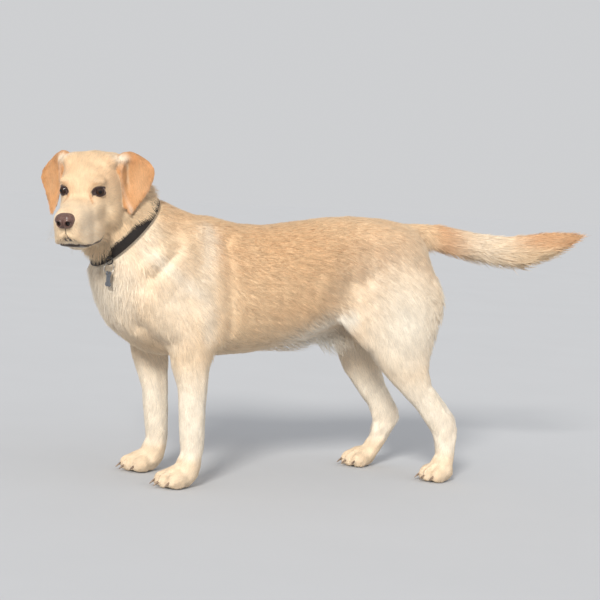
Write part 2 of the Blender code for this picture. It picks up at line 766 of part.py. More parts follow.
def through(rows, share):
    """A smooth curve through evenly spaced rows of points, read at a share of its length."""
    place = share * (len(rows) - 1)
    i = min(int(place), len(rows) - 2)
    t = place - i
    before = rows[max(i - 1, 0)]
    after = rows[min(i + 2, len(rows) - 1)]
    points = []
    for p, a, b, q in zip(before, rows[i], rows[i + 1], after):
        points.append(
            0.5 * (2 * a + (b - p) * t + (2 * p - 5 * a + 4 * b - q) * t * t + (3 * a - p - 3 * b + q) * t**3)
        )
    return points


def ear(name, side, head_wide, group):
    """A hanging flap on a rounded root, cut to sit on the head."""
    rows = [[Vector((side * x, y, z)) for x, y, z in row] for row in EAR]
    if side > 0:
        rows = [[point + Vector(swing) for point in row] for row, swing in zip(rows, EAR_LEFT_SWING)]
    shape = bmesh.new()
    grid = []
    for i in range(EAR_ROWS):
        front, middle, rear = through(rows, i / (EAR_ROWS - 1))
        control = 2 * middle - (front + rear) / 2
        line = [bezier(front, control, rear, k / (EAR_COLUMNS - 1)) for k in range(EAR_COLUMNS)]
        grid.append([shape.verts.new(HEAD @ point) for point in line])
    for a, b in zip(grid, grid[1:]):
        for i in range(EAR_COLUMNS - 1):
            shape.faces.new((a[i], a[i + 1], b[i + 1], b[i]))
    flap = from_bmesh(name, shape, group)
    wall = flap.modifiers.new("wall", "SOLIDIFY")
    wall.thickness = EAR_THICK
    wall.offset = 0
    baked(flap)
    shape = bmesh.new()
    shape.from_mesh(flap.data)
    remove(flap)
    for (x, y, z), halves in EAR_ROOTS:
        ellipsoid(shape, (side * x, y, z), halves, HEAD)
    made = fused(name, shape, EAR_VOXEL, ((SMOOTH_EAR, None),), group)
    thin = made.modifiers.new("thin", "DECIMATE")
    faces = sum(len(polygon.vertices) - 2 for polygon in made.data.polygons)
    thin.ratio = EAR_TRIANGLES / faces
    baked(made)
    difference(made, head_wide)
    return made


def swollen(thing, by, cutters):
    """A guide that follows an object's surface a little way out."""
    made = as_guide(add(thing.name + "_clear", thing.data.copy(), cutters))
    push = made.modifiers.new("push", "DISPLACE")
    push.strength = by
    push.mid_level = 0
    return baked(made)


def eye(name, side, radius, group):
    shape = bmesh.new()
    place = HEAD @ Vector((side * EYE_PLACE[0], EYE_PLACE[1], EYE_PLACE[2]))
    matrix = Matrix.Translation(place) @ HEAD.to_quaternion().to_matrix().to_4x4()
    turn = Matrix.Rotation(math.pi / 2, 4, "X")
    bmesh.ops.create_uvsphere(shape, u_segments=12, v_segments=8, radius=radius, matrix=matrix @ turn)
    return from_bmesh(name, shape, group)


def nose(name, group, cutters):
    shape = bmesh.new()
    rings = [[HEAD @ point for point in ring] for ring in upright_rings(NOSE, NOSE_POWER, NOSE_WIDEST, 16)]
    loft(shape, rings)
    bmesh.ops.recalc_face_normals(shape, faces=shape.faces)
    made = from_bmesh(name, shape, group)
    for side in (1, -1):
        pit = bmesh.new()
        (x, y, z), halves = NOSTRIL
        ellipsoid(pit, (side * x, y, z), halves, HEAD, detail=8)
        difference(made, guide(f"{name}_pit", pit, cutters))
    return made


def claw_shape(shape, place, heading, size, clear):
    """A curved tapering claw from inside the toe to its tip."""
    ahead = Vector((math.sin(-heading), -math.cos(heading), 0))
    stations = []
    for i in range(CLAW_RINGS):
        share = i / (CLAW_RINGS - 1)
        reach = (TOE_REACH - CLAW_ROOT) * size + CLAW_LENGTH * share
        drop = CLAW_DROP * share**1.7
        radius = CLAW_RADIUS * (1 - CLAW_TAPER * share**1.3) + clear
        centre = place + ahead * reach + Vector((0, 0, CLAW_HEIGHT - drop))
        stations.append((centre, radius * CLAW_NARROW, radius))
    loft(shape, path_rings(stations, 5))


def claws(group, cutters):
    """All the claws, and one guide that clears them out of the feet."""
    made = []
    clear = bmesh.new()
    for name, heel in feet():
        hind = name.startswith("hind")
        for number, (place, heading) in enumerate(toe_places(heel, hind), 1):
            size = HIND_PAW if hind else 1.0
            shape = bmesh.new()
            claw_shape(shape, place, heading, size, 0)
            bmesh.ops.recalc_face_normals(shape, faces=shape.faces)
            made.append(from_bmesh(f"claw_{name}_{number}", shape, group))
            claw_shape(clear, place, heading, size, GAP)
    return made, guide("claws_clear", clear, cutters)


def collar_frame():
    """The collar's middle, its axis, and the directions to its front and its left."""
    axis = COLLAR_AXIS
    front = Vector((0, -1, 0))
    front = (front - axis * front.dot(axis)).normalized()
    left = front.cross(axis)
    if left.x < 0:
        left = -left
    return COLLAR_PLACE, axis, front, left


def coat_radii(tree, along):
    """How far out the coat lies round the neck, at a place along the collar's axis, smoothed."""
    place, axis, front, left = collar_frame()
    radii = []
    for i in range(COLLAR_SIDES):
        angle = 2 * math.pi * i / COLLAR_SIDES
        out = front * math.cos(angle) + left * math.sin(angle)
        start = place + axis * along
        hit = tree.ray_cast(start, out)
        radii.append(hit[3])
    for _ in range(4):
        radii = [(radii[i - 1] + 2 * r + radii[(i + 1) % COLLAR_SIDES]) / 4 for i, r in enumerate(radii)]
    return radii


def band(shape, radii_low, radii_high, width, inner, outer):
    """A ring of oblong section round the neck, between two offsets from the coat."""
    place, axis, front, left = collar_frame()
    rows = []
    for i in range(COLLAR_SIDES):
        angle = 2 * math.pi * i / COLLAR_SIDES
        out = front * math.cos(angle) + left * math.sin(angle)
        low = place - axis * width / 2
        high = place + axis * width / 2
        corners = (
            low + out * (radii_low[i] + inner),
            high + out * (radii_high[i] + inner),
            high + out * (radii_high[i] + outer),
            low + out * (radii_low[i] + outer),
        )
        rows.append([shape.verts.new(point) for point in corners])
    for i in range(COLLAR_SIDES):
        a = rows[i]
        b = rows[(i + 1) % COLLAR_SIDES]
        for k in range(4):
            j = (k + 1) % 4
            shape.faces.new((a[k], a[j], b[j]))
            shape.faces.new((a[k], b[j], b[k]))
    bmesh.ops.recalc_face_normals(shape, faces=shape.faces)


def collar(body, group, cutters):
    """The leather band, and the groove that it presses into the coat."""
    tree = BVHTree.FromObject(body, bpy.context.evaluated_depsgraph_get())
    low = coat_radii(tree, -COLLAR_WIDTH / 2)
    high = coat_radii(tree, COLLAR_WIDTH / 2)
    shape = bmesh.new()
    band(shape, low, high, COLLAR_WIDTH, -COLLAR_SINK, COLLAR_THICK - COLLAR_SINK)
    made = from_bmesh("collar_band", shape, group)
    groove = bmesh.new()
    band(groove, low, high, COLLAR_WIDTH + 2 * GAP, -COLLAR_SINK - GAP, COLLAR_SINK + 0.004)
    difference(body, guide("collar_groove", groove, cutters))
    return made, (low, high)


def on_collar(radii, turn):
    """A place on the collar's outer face: its frame, with X along the collar, Y across and Z out."""
    place, axis, front, left = collar_frame()
    share = (turn / (2 * math.pi) % 1) * COLLAR_SIDES
    i = int(share)
    points = []
    for side, edge in zip((-1, 1), radii):
        for k in (i, (i + 1) % COLLAR_SIDES):
            angle = 2 * math.pi * k / COLLAR_SIDES
            out = front * math.cos(angle) + left * math.sin(angle)
            reach = edge[k] + COLLAR_THICK - COLLAR_SINK
            points.append(place + axis * side * COLLAR_WIDTH / 2 + out * reach)
    low_a, low_b, high_a, high_b = points
    along = (low_b - low_a + high_b - high_a).normalized()
    across = (high_a - low_a + high_b - low_b).normalized()
    out = along.cross(across).normalized()
    if out.dot((low_a + high_a) / 2 - place) < 0:
        along = -along
        out = -out
    middle = (low_a + high_a) / 2 * (1 - share + i) + (low_b + high_b) / 2 * (share - i)
    return Matrix.Translation(middle) @ Matrix((along, out.cross(along), out)).transposed().to_4x4()


def block(name, matrix, size, group):
    shape = bmesh.new()
    bmesh.ops.create_cube(shape, size=1, matrix=matrix @ Matrix.Diagonal((*size, 1)))
    return from_bmesh(name, shape, group)


def buckle(radii, group, cutters):
    """A plain oblong frame that lies on the collar."""
    along, across, thick = BUCKLE
    seat = on_collar(radii, BUCKLE_TURN) @ Matrix.Translation((0, 0, thick / 2 + 2 * GAP))
    frame = block("collar_buckle", seat, BUCKLE, group)
    hole = (along - 2 * BUCKLE_BAR, across - 2 * BUCKLE_BAR, 3 * thick)
    difference(frame, as_guide(block("buckle_hole", seat, hole, cutters)))
    return frame


def strip(name, start, end, along, width, thick, group):
    """A flat bar between two places, with its width along a direction."""
    reach = (end - start).normalized()
    across = reach.cross(along).normalized()
    frame = Matrix((across.cross(reach), across, reach)).transposed().to_4x4()
    middle = Matrix.Translation((start + end) / 2) @ frame
    return block(name, middle, (width, thick, (end - start).length), group)


def rod(name, matrix, radius, length, group, sides=10):
    shape = bmesh.new()
    bmesh.ops.create_cone(
        shape, cap_ends=True, segments=sides, radius1=radius, radius2=radius, depth=length, matrix=matrix
    )
    return from_bmesh(name, shape, group)


def wire_ring(name, matrix, radius, wire, group):
    bpy.ops.mesh.primitive_torus_add(
        major_segments=16, minor_segments=6, major_radius=radius, minor_radius=wire
    )
    made = bpy.context.object
    made.name = name
    made.data.name = name
    made.data.transform(matrix)
    for old in list(made.users_collection):
        old.objects.unlink(made)
    group.objects.link(made)
    return made


def upright(centre, facing):
    """A frame that stands plumb at a place and faces a way round from the front to the left."""
    out = Vector((math.sin(facing), -math.cos(facing), 0))
    along = Vector((0, 0, 1)).cross(out)
    return Matrix.Translation(centre) @ Matrix((along, Vector((0, 0, 1)), out)).transposed().to_4x4()


def tag_outline():
    """A bone's outline, hung lengthways: two lobes at each end, joined by a narrow waist."""
    reach = TAG_LENGTH / 2 - TAG_LOBE
    outline = []
    for turn in range(4):
        sx = 1 if turn in (0, 3) else -1
        sy = 1 if turn in (0, 1) else -1
        centre = (sx * TAG_LOBE * 0.85, sy * reach)
        start, end = (-70, 130) if sx * sy > 0 else (50, 250)
        for k in range(8):
            angle = math.radians(start + (end - start) * k / 7)
            c = math.cos(angle)
            q = math.sin(angle)
            if sy < 0:
                c, q = -c, -q
            outline.append((centre[0] + TAG_LOBE * c, centre[1] + TAG_LOBE * q))
    return outline


def tag(place, group, cutters):
    """A plain bone-shaped plate with a hole in its upper end."""
    shape = bmesh.new()
    seat = upright(place - Vector((0, 0, TAG_LENGTH / 2 - TAG_LOBE)), TAG_FACE)
    corners = [shape.verts.new(seat @ Vector((x, y, -TAG_THICK / 2))) for x, y in tag_outline()]
    face = shape.faces.new(corners)
    made_face = bmesh.ops.extrude_face_region(shape, geom=[face])
    moved = [item for item in made_face["geom"] if isinstance(item, bmesh.types.BMVert)]
    push = seat.to_3x3() @ Vector((0, 0, TAG_THICK))
    bmesh.ops.translate(shape, vec=push, verts=moved)
    bmesh.ops.recalc_face_normals(shape, faces=shape.faces)
    made = from_bmesh("tag", shape, group)
    difference(made, as_guide(rod("tag_hole", upright(place, TAG_FACE), TAG_HOLE, 4 * TAG_THICK, cutters)))
    return made


def hanging(radii, group, cutters):
    """The loop on the collar, the ring in it, the split ring and the tag, each hung in the last."""
    seat = on_collar(radii, TAG_TURN)
    centre = seat @ Vector((0, -COLLAR_WIDTH / 2 + HOLDER_RADIUS, HOLDER_OUT))
    heading = seat.to_3x3() @ Vector((1, 0, 0))
    facing = math.atan2(heading.y, heading.x)
    level = upright(centre, facing) @ Matrix.Rotation(math.pi / 2, 4, "Y")
    holder = rod("ring_holder", level, HOLDER_RADIUS, HOLDER_LENGTH, group)
    root = seat @ Vector((0, -COLLAR_WIDTH / 2 + HOLDER_RADIUS, HOLDER_TAB / 2 + 2 * GAP))
    tab = strip("holder_tab", root, centre, heading, HOLDER_LENGTH * TAB_SHARE, HOLDER_TAB, cutters)
    merged(holder, as_guide(tab))
    difference(holder, as_guide(rod("holder_bore", level, HOLDER_BORE, 2 * HOLDER_LENGTH, cutters)))
    centre = centre - Vector((0, 0, RING_RADIUS))
    first = wire_ring("collar_ring", upright(centre, facing), RING_RADIUS, RING_WIRE, group)
    contact = RING_WIRE + SPLIT_WIRE + GAP
    centre = centre - Vector((0, 0, RING_RADIUS - contact + SPLIT_RADIUS))
    second = wire_ring("split_ring", upright(centre, facing + SPLIT_TURN), SPLIT_RADIUS, SPLIT_WIRE, group)
    place = centre - Vector((0, 0, SPLIT_RADIUS + TAG_HOLE - SPLIT_WIRE - GAP))
    return holder, first, second, tag(place, group, cutters)


def flattened(body):
    """The soles cut level with the floor."""
    shape = bmesh.new()
    shape.from_mesh(body.data)
    geometry = shape.verts[:] + shape.edges[:] + shape.faces[:]
    cut = bmesh.ops.bisect_plane(
        shape, geom=geometry, plane_co=(0, 0, 0), plane_no=(0, 0, -1), clear_outer=True
    )
    edges = [item for item in cut["geom_cut"] if isinstance(item, bmesh.types.BMEdge)]
    bmesh.ops.holes_fill(shape, edges=edges)
    bmesh.ops.recalc_face_normals(shape, faces=shape.faces)
    shape.to_mesh(body.data)
    shape.free()


def paint(piece, colour, roughness, metallic=0.0):
    """Gives a piece its own material, and shades it smooth between its corners."""
    piece.data.materials.clear()
    piece.data.materials.append(material(piece.name, colour, roughness, metallic))
    for polygon in piece.data.polygons:
        polygon.use_smooth = True
    piece.data.set_sharp_from_angle(angle=SMOOTH_ANGLE)


def recentre(group):
    """Moves the dog so that the middle of its box is over the origin."""
    points = [vertex.co for thing in group.objects for vertex in thing.data.vertices]
    low = [min(point[i] for point in points) for i in (0, 1)]
    high = [max(point[i] for point in points) for i in (0, 1)]
    middle = Matrix.Translation((-(low[0] + high[0]) / 2, -(low[1] + high[1]) / 2, 0))
    for thing in bpy.data.objects:
        if thing.type == "MESH":
            thing.data.transform(middle)


def main():
    for old in list(bpy.data.objects):
        bpy.data.objects.remove(old)
    group = collection(NAME)
    cutters = collection("cutters")
    body = body_whole(group)
    flattened(body)
    band_piece, radii = collar(body, group, cutters)
    head_wide = swollen(body, GAP, cutters)
    ears = [ear("ear_left", 1, head_wide, group), ear("ear_right", -1, head_wide, group)]
    eyes = [eye("eye_left", 1, EYE_RADIUS, group), eye("eye_right", -1, EYE_RADIUS, group)]
    for side, word in ((1, "left"), (-1, "right")):
        difference(body, as_guide(eye("socket_" + word, side, EYE_RADIUS + GAP, cutters)))
    nose_piece = nose("nose_pad", group, cutters)
    difference(body, swollen(nose_piece, GAP, cutters))
    claw_pieces, claws_clear = claws(group, cutters)
    difference(body, claws_clear)
    for cutter in body_cutters(cutters):
        difference(body, cutter)
    flesh = parted(body, group)
    holder, first, second, plate_tag = hanging(radii, group, cutters)
    frame = buckle(radii, group, cutters)
    for name, piece in flesh.items():
        paint(piece, COAT, 0.85)
    for piece in ears:
        paint(piece, EAR_TAN, 0.85)
    for piece in eyes:
        paint(piece, EYE_BROWN, 0.08)
    for piece in claw_pieces:
        paint(piece, HORN, 0.45)
    paint(nose_piece, NOSE_BROWN, 0.40)
    paint(band_piece, LEATHER, 0.50)
    paint(holder, LEATHER, 0.50)
    for piece in (frame, first, second):
        paint(piece, STEEL, 0.30, 1.0)
    paint(plate_tag, TAG_GREY, 0.35, 1.0)
    recentre(group)


main()
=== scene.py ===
"""The looks of a standing yellow Labrador: one skin, a coat of tufts, eyes, nose, claws, collar and tag."""

import math

import bmesh
import bpy
import numpy as np
from bpy.props import FloatProperty, FloatVectorProperty, PointerProperty
from mathutils import Euler, Matrix, Vector
from mathutils.bvhtree import BVHTree


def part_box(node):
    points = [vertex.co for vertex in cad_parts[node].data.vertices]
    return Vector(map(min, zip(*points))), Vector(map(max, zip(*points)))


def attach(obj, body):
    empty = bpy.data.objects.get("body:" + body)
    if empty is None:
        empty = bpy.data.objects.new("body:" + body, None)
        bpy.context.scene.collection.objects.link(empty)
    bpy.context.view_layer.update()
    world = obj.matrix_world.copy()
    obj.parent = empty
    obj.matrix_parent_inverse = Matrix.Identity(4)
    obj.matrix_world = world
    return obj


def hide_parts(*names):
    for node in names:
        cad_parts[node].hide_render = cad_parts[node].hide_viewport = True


bl_info = {
    "name": "Standing Labrador",
    "version": (1, 0, 0),
    "blender": (4, 5, 0),
    "location": "3D View > Sidebar > Dog",
    "description": "Skin, coat, face, claws, collar and studio for a standing Labrador",
    "category": "Object",
}

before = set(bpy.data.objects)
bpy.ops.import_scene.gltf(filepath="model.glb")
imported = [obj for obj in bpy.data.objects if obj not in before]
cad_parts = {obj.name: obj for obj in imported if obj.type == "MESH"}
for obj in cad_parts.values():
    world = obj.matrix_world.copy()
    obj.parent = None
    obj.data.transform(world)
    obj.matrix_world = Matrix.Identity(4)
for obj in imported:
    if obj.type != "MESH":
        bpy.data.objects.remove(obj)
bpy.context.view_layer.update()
ROOT = "root"
SEED = 20

# The head's axes: X to the dog's left, -Y to the nose, Z up, from the point midway between the eyes
HEAD_TURN = (math.radians(13.5), math.radians(-2.5), math.radians(53.0))  # nod, lean, turn
EYE_SPACING = 0.072
EYE_BACK = -0.0018
# Where that point is in the body's axes, whose origin is on the floor in the dog's middle plane
HEAD_IN_BODY = Vector((0.082, -0.48, 0.599))

COLLAR_PLACE = Vector((0.006, -0.366, 0.531))
COLLAR_AXIS = Vector((0.1, -0.743, 0.66)).normalized()
COLLAR_WIDTH = 0.021
COLLAR_THICK = 0.0034
TOE_GAP = 0.0042
TOE_DEPTH = 0.0042

HARD_PARTS = ("claw", "eye", "nose", "collar", "ring", "split", "tag")
NOT_IN_SKIN = ("claw", "collar", "ring", "split", "tag")

# Skin
SWELL = 0.0006  # closes the cuts between the solids
GRAIN = 0.0026
SMOOTH_ROUNDS = 70
SKIN_KEPT = 0.27  # share of the faces left after the body is thinned

# Depth of the coat: how far the skin lies inside the solids
BODY_DEPTH = 0.0042


def middle(node):
    low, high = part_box(node)
    return (low + high) / 2


def head_frame():
    """The head's axes, placed by the eyes."""
    left = middle("eye_left")
    right = middle("eye_right")
    size = (left - right).length / EYE_SPACING
    turn = Euler((0, 0, HEAD_TURN[2])).to_matrix() @ Euler((HEAD_TURN[0], 0, 0)).to_matrix()
    turn = turn @ Euler((0, HEAD_TURN[1], 0)).to_matrix()
    place = (left + right) / 2 - turn @ Vector((0, EYE_BACK * size, 0))
    return Matrix.Translation(place) @ turn.to_4x4() @ Matrix.Scale(size, 4)


HEAD = head_frame()
HEAD_AXES = np.array(HEAD.to_3x3().normalized())
BODY = Matrix.Translation(HEAD.translation - HEAD_IN_BODY)


def into(matrix, points):
    """Points of the world in a frame's own axes."""
    inverse = np.array(matrix.inverted())
    return points @ inverse[:3, :3].T + inverse[:3, 3]


def out_of(matrix, points):
    forward = np.array(matrix)
    return np.asarray(points) @ forward[:3, :3].T + forward[:3, 3]


def step(value, low, high):
    """0 at the low mark, 1 at the high one, smooth between, whichever is the larger."""
    share = np.clip((value - low) / (high - low), 0.0, 1.0)
    return share * share * (3.0 - 2.0 * share)


def blob(points, centre, radii):
    """1 at a place, falling away like a bell over the given reach."""
    offset = (points - np.asarray(centre)) / np.asarray(radii)
    return np.exp(-np.sum(offset * offset, axis=1))


def bell(value, reach):
    """1 at zero, falling away like a bell over the given reach."""
    return np.exp(-((value / reach) ** 2))


def to_path(points, path):
    """How far points are from a line of straight runs, and how far along it as a share."""
    path = np.asarray(path, float)
    best = np.full(len(points), np.inf)
    along = np.zeros(len(points))
    for i, (a, b) in enumerate(zip(path, path[1:])):
        run = b - a
        share = np.clip((points - a) @ run / (run @ run), 0.0, 1.0)
        distance = np.linalg.norm(points - (a + share[:, None] * run), axis=1)
        nearer = distance < best
        best = np.where(nearer, distance, best)
        along = np.where(nearer, (i + share) / (len(path) - 1), along)
    return best, along


def near_path(points, path, reach):
    """1 on a line of straight runs, falling away over the given reach."""
    return bell(to_path(points, path)[0], reach)


def blend(values, target, *shares):
    """Moves values, in place, towards a target by the product of the shares."""
    gap = target - values
    for share in shares:
        gap = gap * share
    values += gap


def one_side(points):
    """The same places, all taken to the left side."""
    return np.column_stack((np.abs(points[:, 0]), points[:, 1:]))


def unit(vectors):
    length = np.linalg.norm(vectors, axis=1, keepdims=True)
    return vectors / np.maximum(length, 1e-12)


def mirrored(rows):
    """Rows of places with the same rows on the other side of the middle plane."""
    both = []
    for place, heading in rows:
        both.append((place, heading))
        if abs(place[0]) > 0.004:
            both.append(((-place[0], *place[1:]), (-heading[0], *heading[1:])))
    return both


def read(items, key, width=1, kind=np.int32):
    """One property of all of a mesh's items."""
    flat = np.empty(len(items) * width, kind)
    items.foreach_get(key, flat)
    return flat.reshape(-1, width) if width > 1 else flat


def points_of(mesh):
    return read(mesh.vertices, "co", 3, float)


def put_points(mesh, points):
    mesh.vertices.foreach_set("co", np.ascontiguousarray(points, np.float32).ravel())
    mesh.update()


def normals_of(mesh):
    return read(mesh.vertex_normals, "vector", 3, np.float32).astype(float)


def relaxed(points, edges, weight, rounds):
    """Points drawn towards the middle of their neighbours, by a weight of their own."""
    points = points.copy()
    count = len(points)
    a, b = edges.T
    degree = np.maximum(np.bincount(edges.ravel(), minlength=count), 1)
    pull = (0.5 * weight)[:, None]
    for _ in range(rounds):
        total = np.empty_like(points)
        for k in range(3):
            total[:, k] = np.bincount(a, points[b, k], count) + np.bincount(b, points[a, k], count)
        points += (total / degree[:, None] - points) * pull
    return points


def deselect():
    for thing in bpy.context.selected_objects:
        thing.select_set(False)


def activate(thing):
    deselect()
    thing.select_set(True)
    bpy.context.view_layer.objects.active = thing


def apply_all(thing):
    activate(thing)
    for modifier in list(thing.modifiers):
        bpy.ops.object.modifier_apply(modifier=modifier.name)


def modify(thing, kind, **settings):
    """Adds a modifier with its settings."""
    modifier = thing.modifiers.new(kind, kind)
    for key, value in settings.items():
        setattr(modifier, key, value)


def edit_all(operator, **settings):
    """Runs an operator of edit mode on the whole of the active mesh."""
    bpy.ops.object.mode_set(mode="EDIT")
    bpy.ops.mesh.select_all(action="SELECT")
    operator(**settings)
    bpy.ops.object.mode_set(mode="OBJECT")


def linked(name, data):
    """A new object in the scene."""
    made = bpy.data.objects.new(name, data)
    bpy.context.scene.collection.objects.link(made)
    return made


def named(thing, name):
    thing.name = name
    thing.data.name = name
    return thing


def join(pieces, name):
    activate(pieces[0])
    for piece in pieces:
        piece.select_set(True)
    if len(pieces) > 1:
        bpy.ops.object.join()
    return named(bpy.context.view_layer.objects.active, name)


def smooth_but_edges(thing, degrees):
    """Smooth shading, but for the edges sharper than an angle."""
    activate(thing)
    bpy.ops.object.shade_smooth_by_angle(angle=math.radians(degrees))
    return thing


def copy_of(nodes, name):
    """One merged object made of copies of CAD nodes."""
    copies = []
    for node in nodes:
        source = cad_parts[node]
        copy = source.copy()
        copy.data = source.data.copy()
        copy.parent = None
        for key in list(copy.keys()):
            del copy[key]
        bpy.context.scene.collection.objects.link(copy)
        copy.hide_render = False
        copy.hide_viewport = False
        copies.append(copy)
    made = join(copies, name)
    made.data.materials.clear()
    edit_all(bpy.ops.mesh.remove_doubles, threshold=1e-5)
    return made


def finished(thing, slot, material, replaced=()):
    """Gives a piece its body and its material, and hides the nodes that it stands for. The slot is not used.
    """
    thing.data.materials.clear()
    thing.data.materials.append(material)
    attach(thing, ROOT)
    if replaced:
        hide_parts(*replaced)
    return thing


# -------------------- regions of the dog


def tree_of(mesh):
    return BVHTree.FromPolygons([v.co for v in mesh.vertices], [p.vertices for p in mesh.polygons])


def nearness(points, nodes, reach):
    """1 on the named nodes' surfaces, 0 from the reach outwards."""
    result = np.zeros(len(points))
    for node in nodes:
        low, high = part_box(node)
        low = np.array(low) - reach
        high = np.array(high) + reach
        tree = tree_of(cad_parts[node].data)
        for i in np.nonzero(np.all((points > low) & (points < high), axis=1))[0]:
            hit = tree.find_nearest(points[i], reach)
            if hit[0] is not None:
                result[i] = max(result[i], 1.0 - hit[3] / reach)
    return result


class Regions:
    """Soft masks of the dog's parts at a set of points."""

    def __init__(self, points):
        self.body = into(BODY, points)
        self.head = into(HEAD, points)
        x, y, z = self.body.T
        self.side = np.abs(x)
        far = np.linalg.norm((self.head - (0, 0.02, -0.02)) / (1.0, 1.05, 1.0), axis=1)
        self.skull = 1.0 - step(far, 0.112, 0.14)
        self.skull *= step(z, 0.44, 0.47)
        self.ear = step(nearness(points, ("ear_left", "ear_right"), 0.006), 0.25, 0.75)
        self.leg = 1.0 - step(z, 0.235, 0.3)
        self.paw = 1.0 - step(z, 0.045, 0.085)
        self.tail = step(y, 0.335, 0.375) * step(z, 0.43, 0.46)
        self.neck = blob(self.body, (0.0, -0.36, 0.53), (0.13, 0.085, 0.12)) * (1 - self.skull)
        self.chest = blob(self.body, (0.0, -0.4, 0.4), (0.1, 0.075, 0.12)) * (1 - self.skull)
        self.belly = blob(self.body, (0.0, 0.08, 0.29), (0.075, 0.16, 0.045)) * (1 - self.paw)
        self.breech = blob(self.body, (0.0, 0.335, 0.36), (0.13, 0.045, 0.1)) * (1 - self.tail)


def coat_depth(regions):
    """How far the skin lies inside the tips of the coat."""
    depth = np.full(len(regions.side), BODY_DEPTH)
    depth += 0.002 * regions.neck + 0.0014 * regions.chest
    depth += 0.002 * regions.breech + 0.0014 * regions.belly
    blend(depth, 0.0018, regions.leg)
    blend(depth, 0.0012, regions.paw)
    blend(depth, 0.0055, regions.tail)
    blend(depth, 0.0016, regions.skull)
    muzzle = 1 - step(regions.head[:, 1], -0.055, -0.02)
    blend(depth, 0.0008, muzzle, regions.skull)
    blend(depth, 0.0007, regions.ear)
    return depth


# -------------------- the face

EYE_OUT = 0.036
EYE_FACING = math.radians(27)  # how far each eye looks out from the nose's line
EYE_RADIUS = 0.01185
LID_HALF = 0.0135  # half the width between the corners of the lids
LID_UP = 0.0071
LID_LOW = 0.006
LID_TILT = math.radians(3)  # the inner corner lies lower
MOUTH_LINE = (
    (-0.112, -0.069),
    (-0.1015, -0.074),
    (-0.0956, -0.08),
    (-0.0882, -0.0868),
    (-0.0726, -0.094),
    (-0.0599, -0.098),
    (-0.045, -0.0985),
    (-0.03, -0.0962),
    (-0.018, -0.093),
    (-0.006, -0.088),
    (0.008, -0.083),
)


def eye_frame(side):
    """An eye's own axes in the head's: X to its outer corner, Y up, Z the way it looks."""
    outward = Vector((side * math.cos(EYE_FACING), math.sin(EYE_FACING), 0))
    ahead = Vector((side * math.sin(EYE_FACING), -math.cos(EYE_FACING), 0.06)).normalized()
    up = ahead.cross(outward) * side
    if up.z < 0:
        up = -up
    outward = (outward - ahead * outward.dot(ahead)).normalized()
    turn = Matrix((outward, up.normalized(), ahead)).transposed().to_4x4()
    return Matrix.Translation((side * EYE_OUT, EYE_BACK, 0)) @ turn


def lid_distance(across, up):
    """Signed distance from the almond between the lids, below 0 inside it."""
    c = math.cos(LID_TILT)
    s = math.sin(LID_TILT)
    u = across * c + up * s
    w = up * c - across * s
    distance = None
    for sign, rise in ((1, LID_UP), (-1, LID_LOW)):
        radius = (LID_HALF**2 + rise**2) / (2 * rise)
        arc = np.hypot(u, w - sign * (rise - radius)) - radius
        distance = arc if distance is None else np.maximum(distance, arc)
    return distance


def by_eye(head):
    """For each eye: points in its axes, how far they are from it, and from the opening of its lids."""
    for side in (1, -1):
        local = into(eye_frame(side), head)
        yield local, np.linalg.norm(local, axis=1), lid_distance(local[:, 0], local[:, 1])


def open_eye(points, side):
    """Shapes the lids round an eye: a rim on the ball, a fold above, and a hollow behind the ball."""
    local = into(eye_frame(side), points)
    reach = np.linalg.norm(local, axis=1)
    close = (reach < 0.032) & (local[:, 2] > 0.0)
    part = local[close]
    rho = reach[close]
    gap = lid_distance(part[:, 0], part[:, 1])
    rim = EYE_RADIUS + 0.0009 + 0.001 * step(gap, 0.0004, 0.0022)
    above = step(part[:, 1], 0.0, 0.004)
    rim = rim + above * 0.0008 * bell(gap - 0.0026, 0.0018)
    rim = rim - above * 0.0012 * bell(gap - 0.0062, 0.0012)
    shell = np.where(gap < 0, EYE_RADIUS - 0.0028 * step(-gap, 0.0, 0.001) + 0.0009, rim)
    hold = 1.0 - step(gap, 0.003, 0.012)
    fold = above * 0.0007 * bell(gap - 0.0066, 0.0011) * (1 - hold)
    target = rho + (shell - rho) * hold - fold
    local[close] = part * (target / rho)[:, None]
    return out_of(eye_frame(side), local)


def lip_height(y):
    return np.interp(y, *np.transpose(MOUTH_LINE))


def lip_mask(head):
    """How far above the mouth's line points are, and where along the muzzle the line runs."""
    x, y, z = head.T
    live = step(-y, 0.003, 0.011) * step(z, -0.135, -0.12)
    # Under the nose the two lips part
    parted = 0.007 * bell(x, 0.008) * step(-y, 0.084, 0.096)
    return z - lip_height(y) - parted, live


# The fold a little behind the front edge of an ear's leaf
EAR_FOLD = (
    (0.058, 0.068, 0.064),
    (0.074, 0.066, 0.046),
    (0.0765, 0.064, 0.012),
    (0.08, 0.064, -0.03),
    (0.086, 0.0625, -0.055),
)
EAR_LEAF = ((0.092, 0.09, 0.04), (0.098, 0.09, 0.0), (0.096, 0.08, -0.035))
FURROW = ((0, -0.022, 0.006), (0, -0.002, 0.032), (0, 0.03, 0.06))
UNDER_EYE = ((0.021, -0.026, -0.012), (0.034, -0.012, -0.022), (0.048, 0.006, -0.02))
MOUTH_FOLD = ((0.036, -0.03, -0.052), (0.044, -0.006, -0.07), (0.046, 0.012, -0.092))
# Painted shade of a fold: a line from each eye's inner corner down the muzzle's side, coloured tan and darker
FOLD_SHADE_LINE = ((0.0221, -0.0205, -0.0053), (0.0299, -0.0308, -0.0182))


def whisker_roots():
    """The roots of the whiskers on the left of the muzzle, in the head's axes."""
    for row in range(4):
        for k in range(5):
            x = 0.0235 + 0.0016 * row + 0.001 * k
            yield x, -0.096 + 0.0092 * k, -0.05 - 0.0075 * row - 0.0012 * k


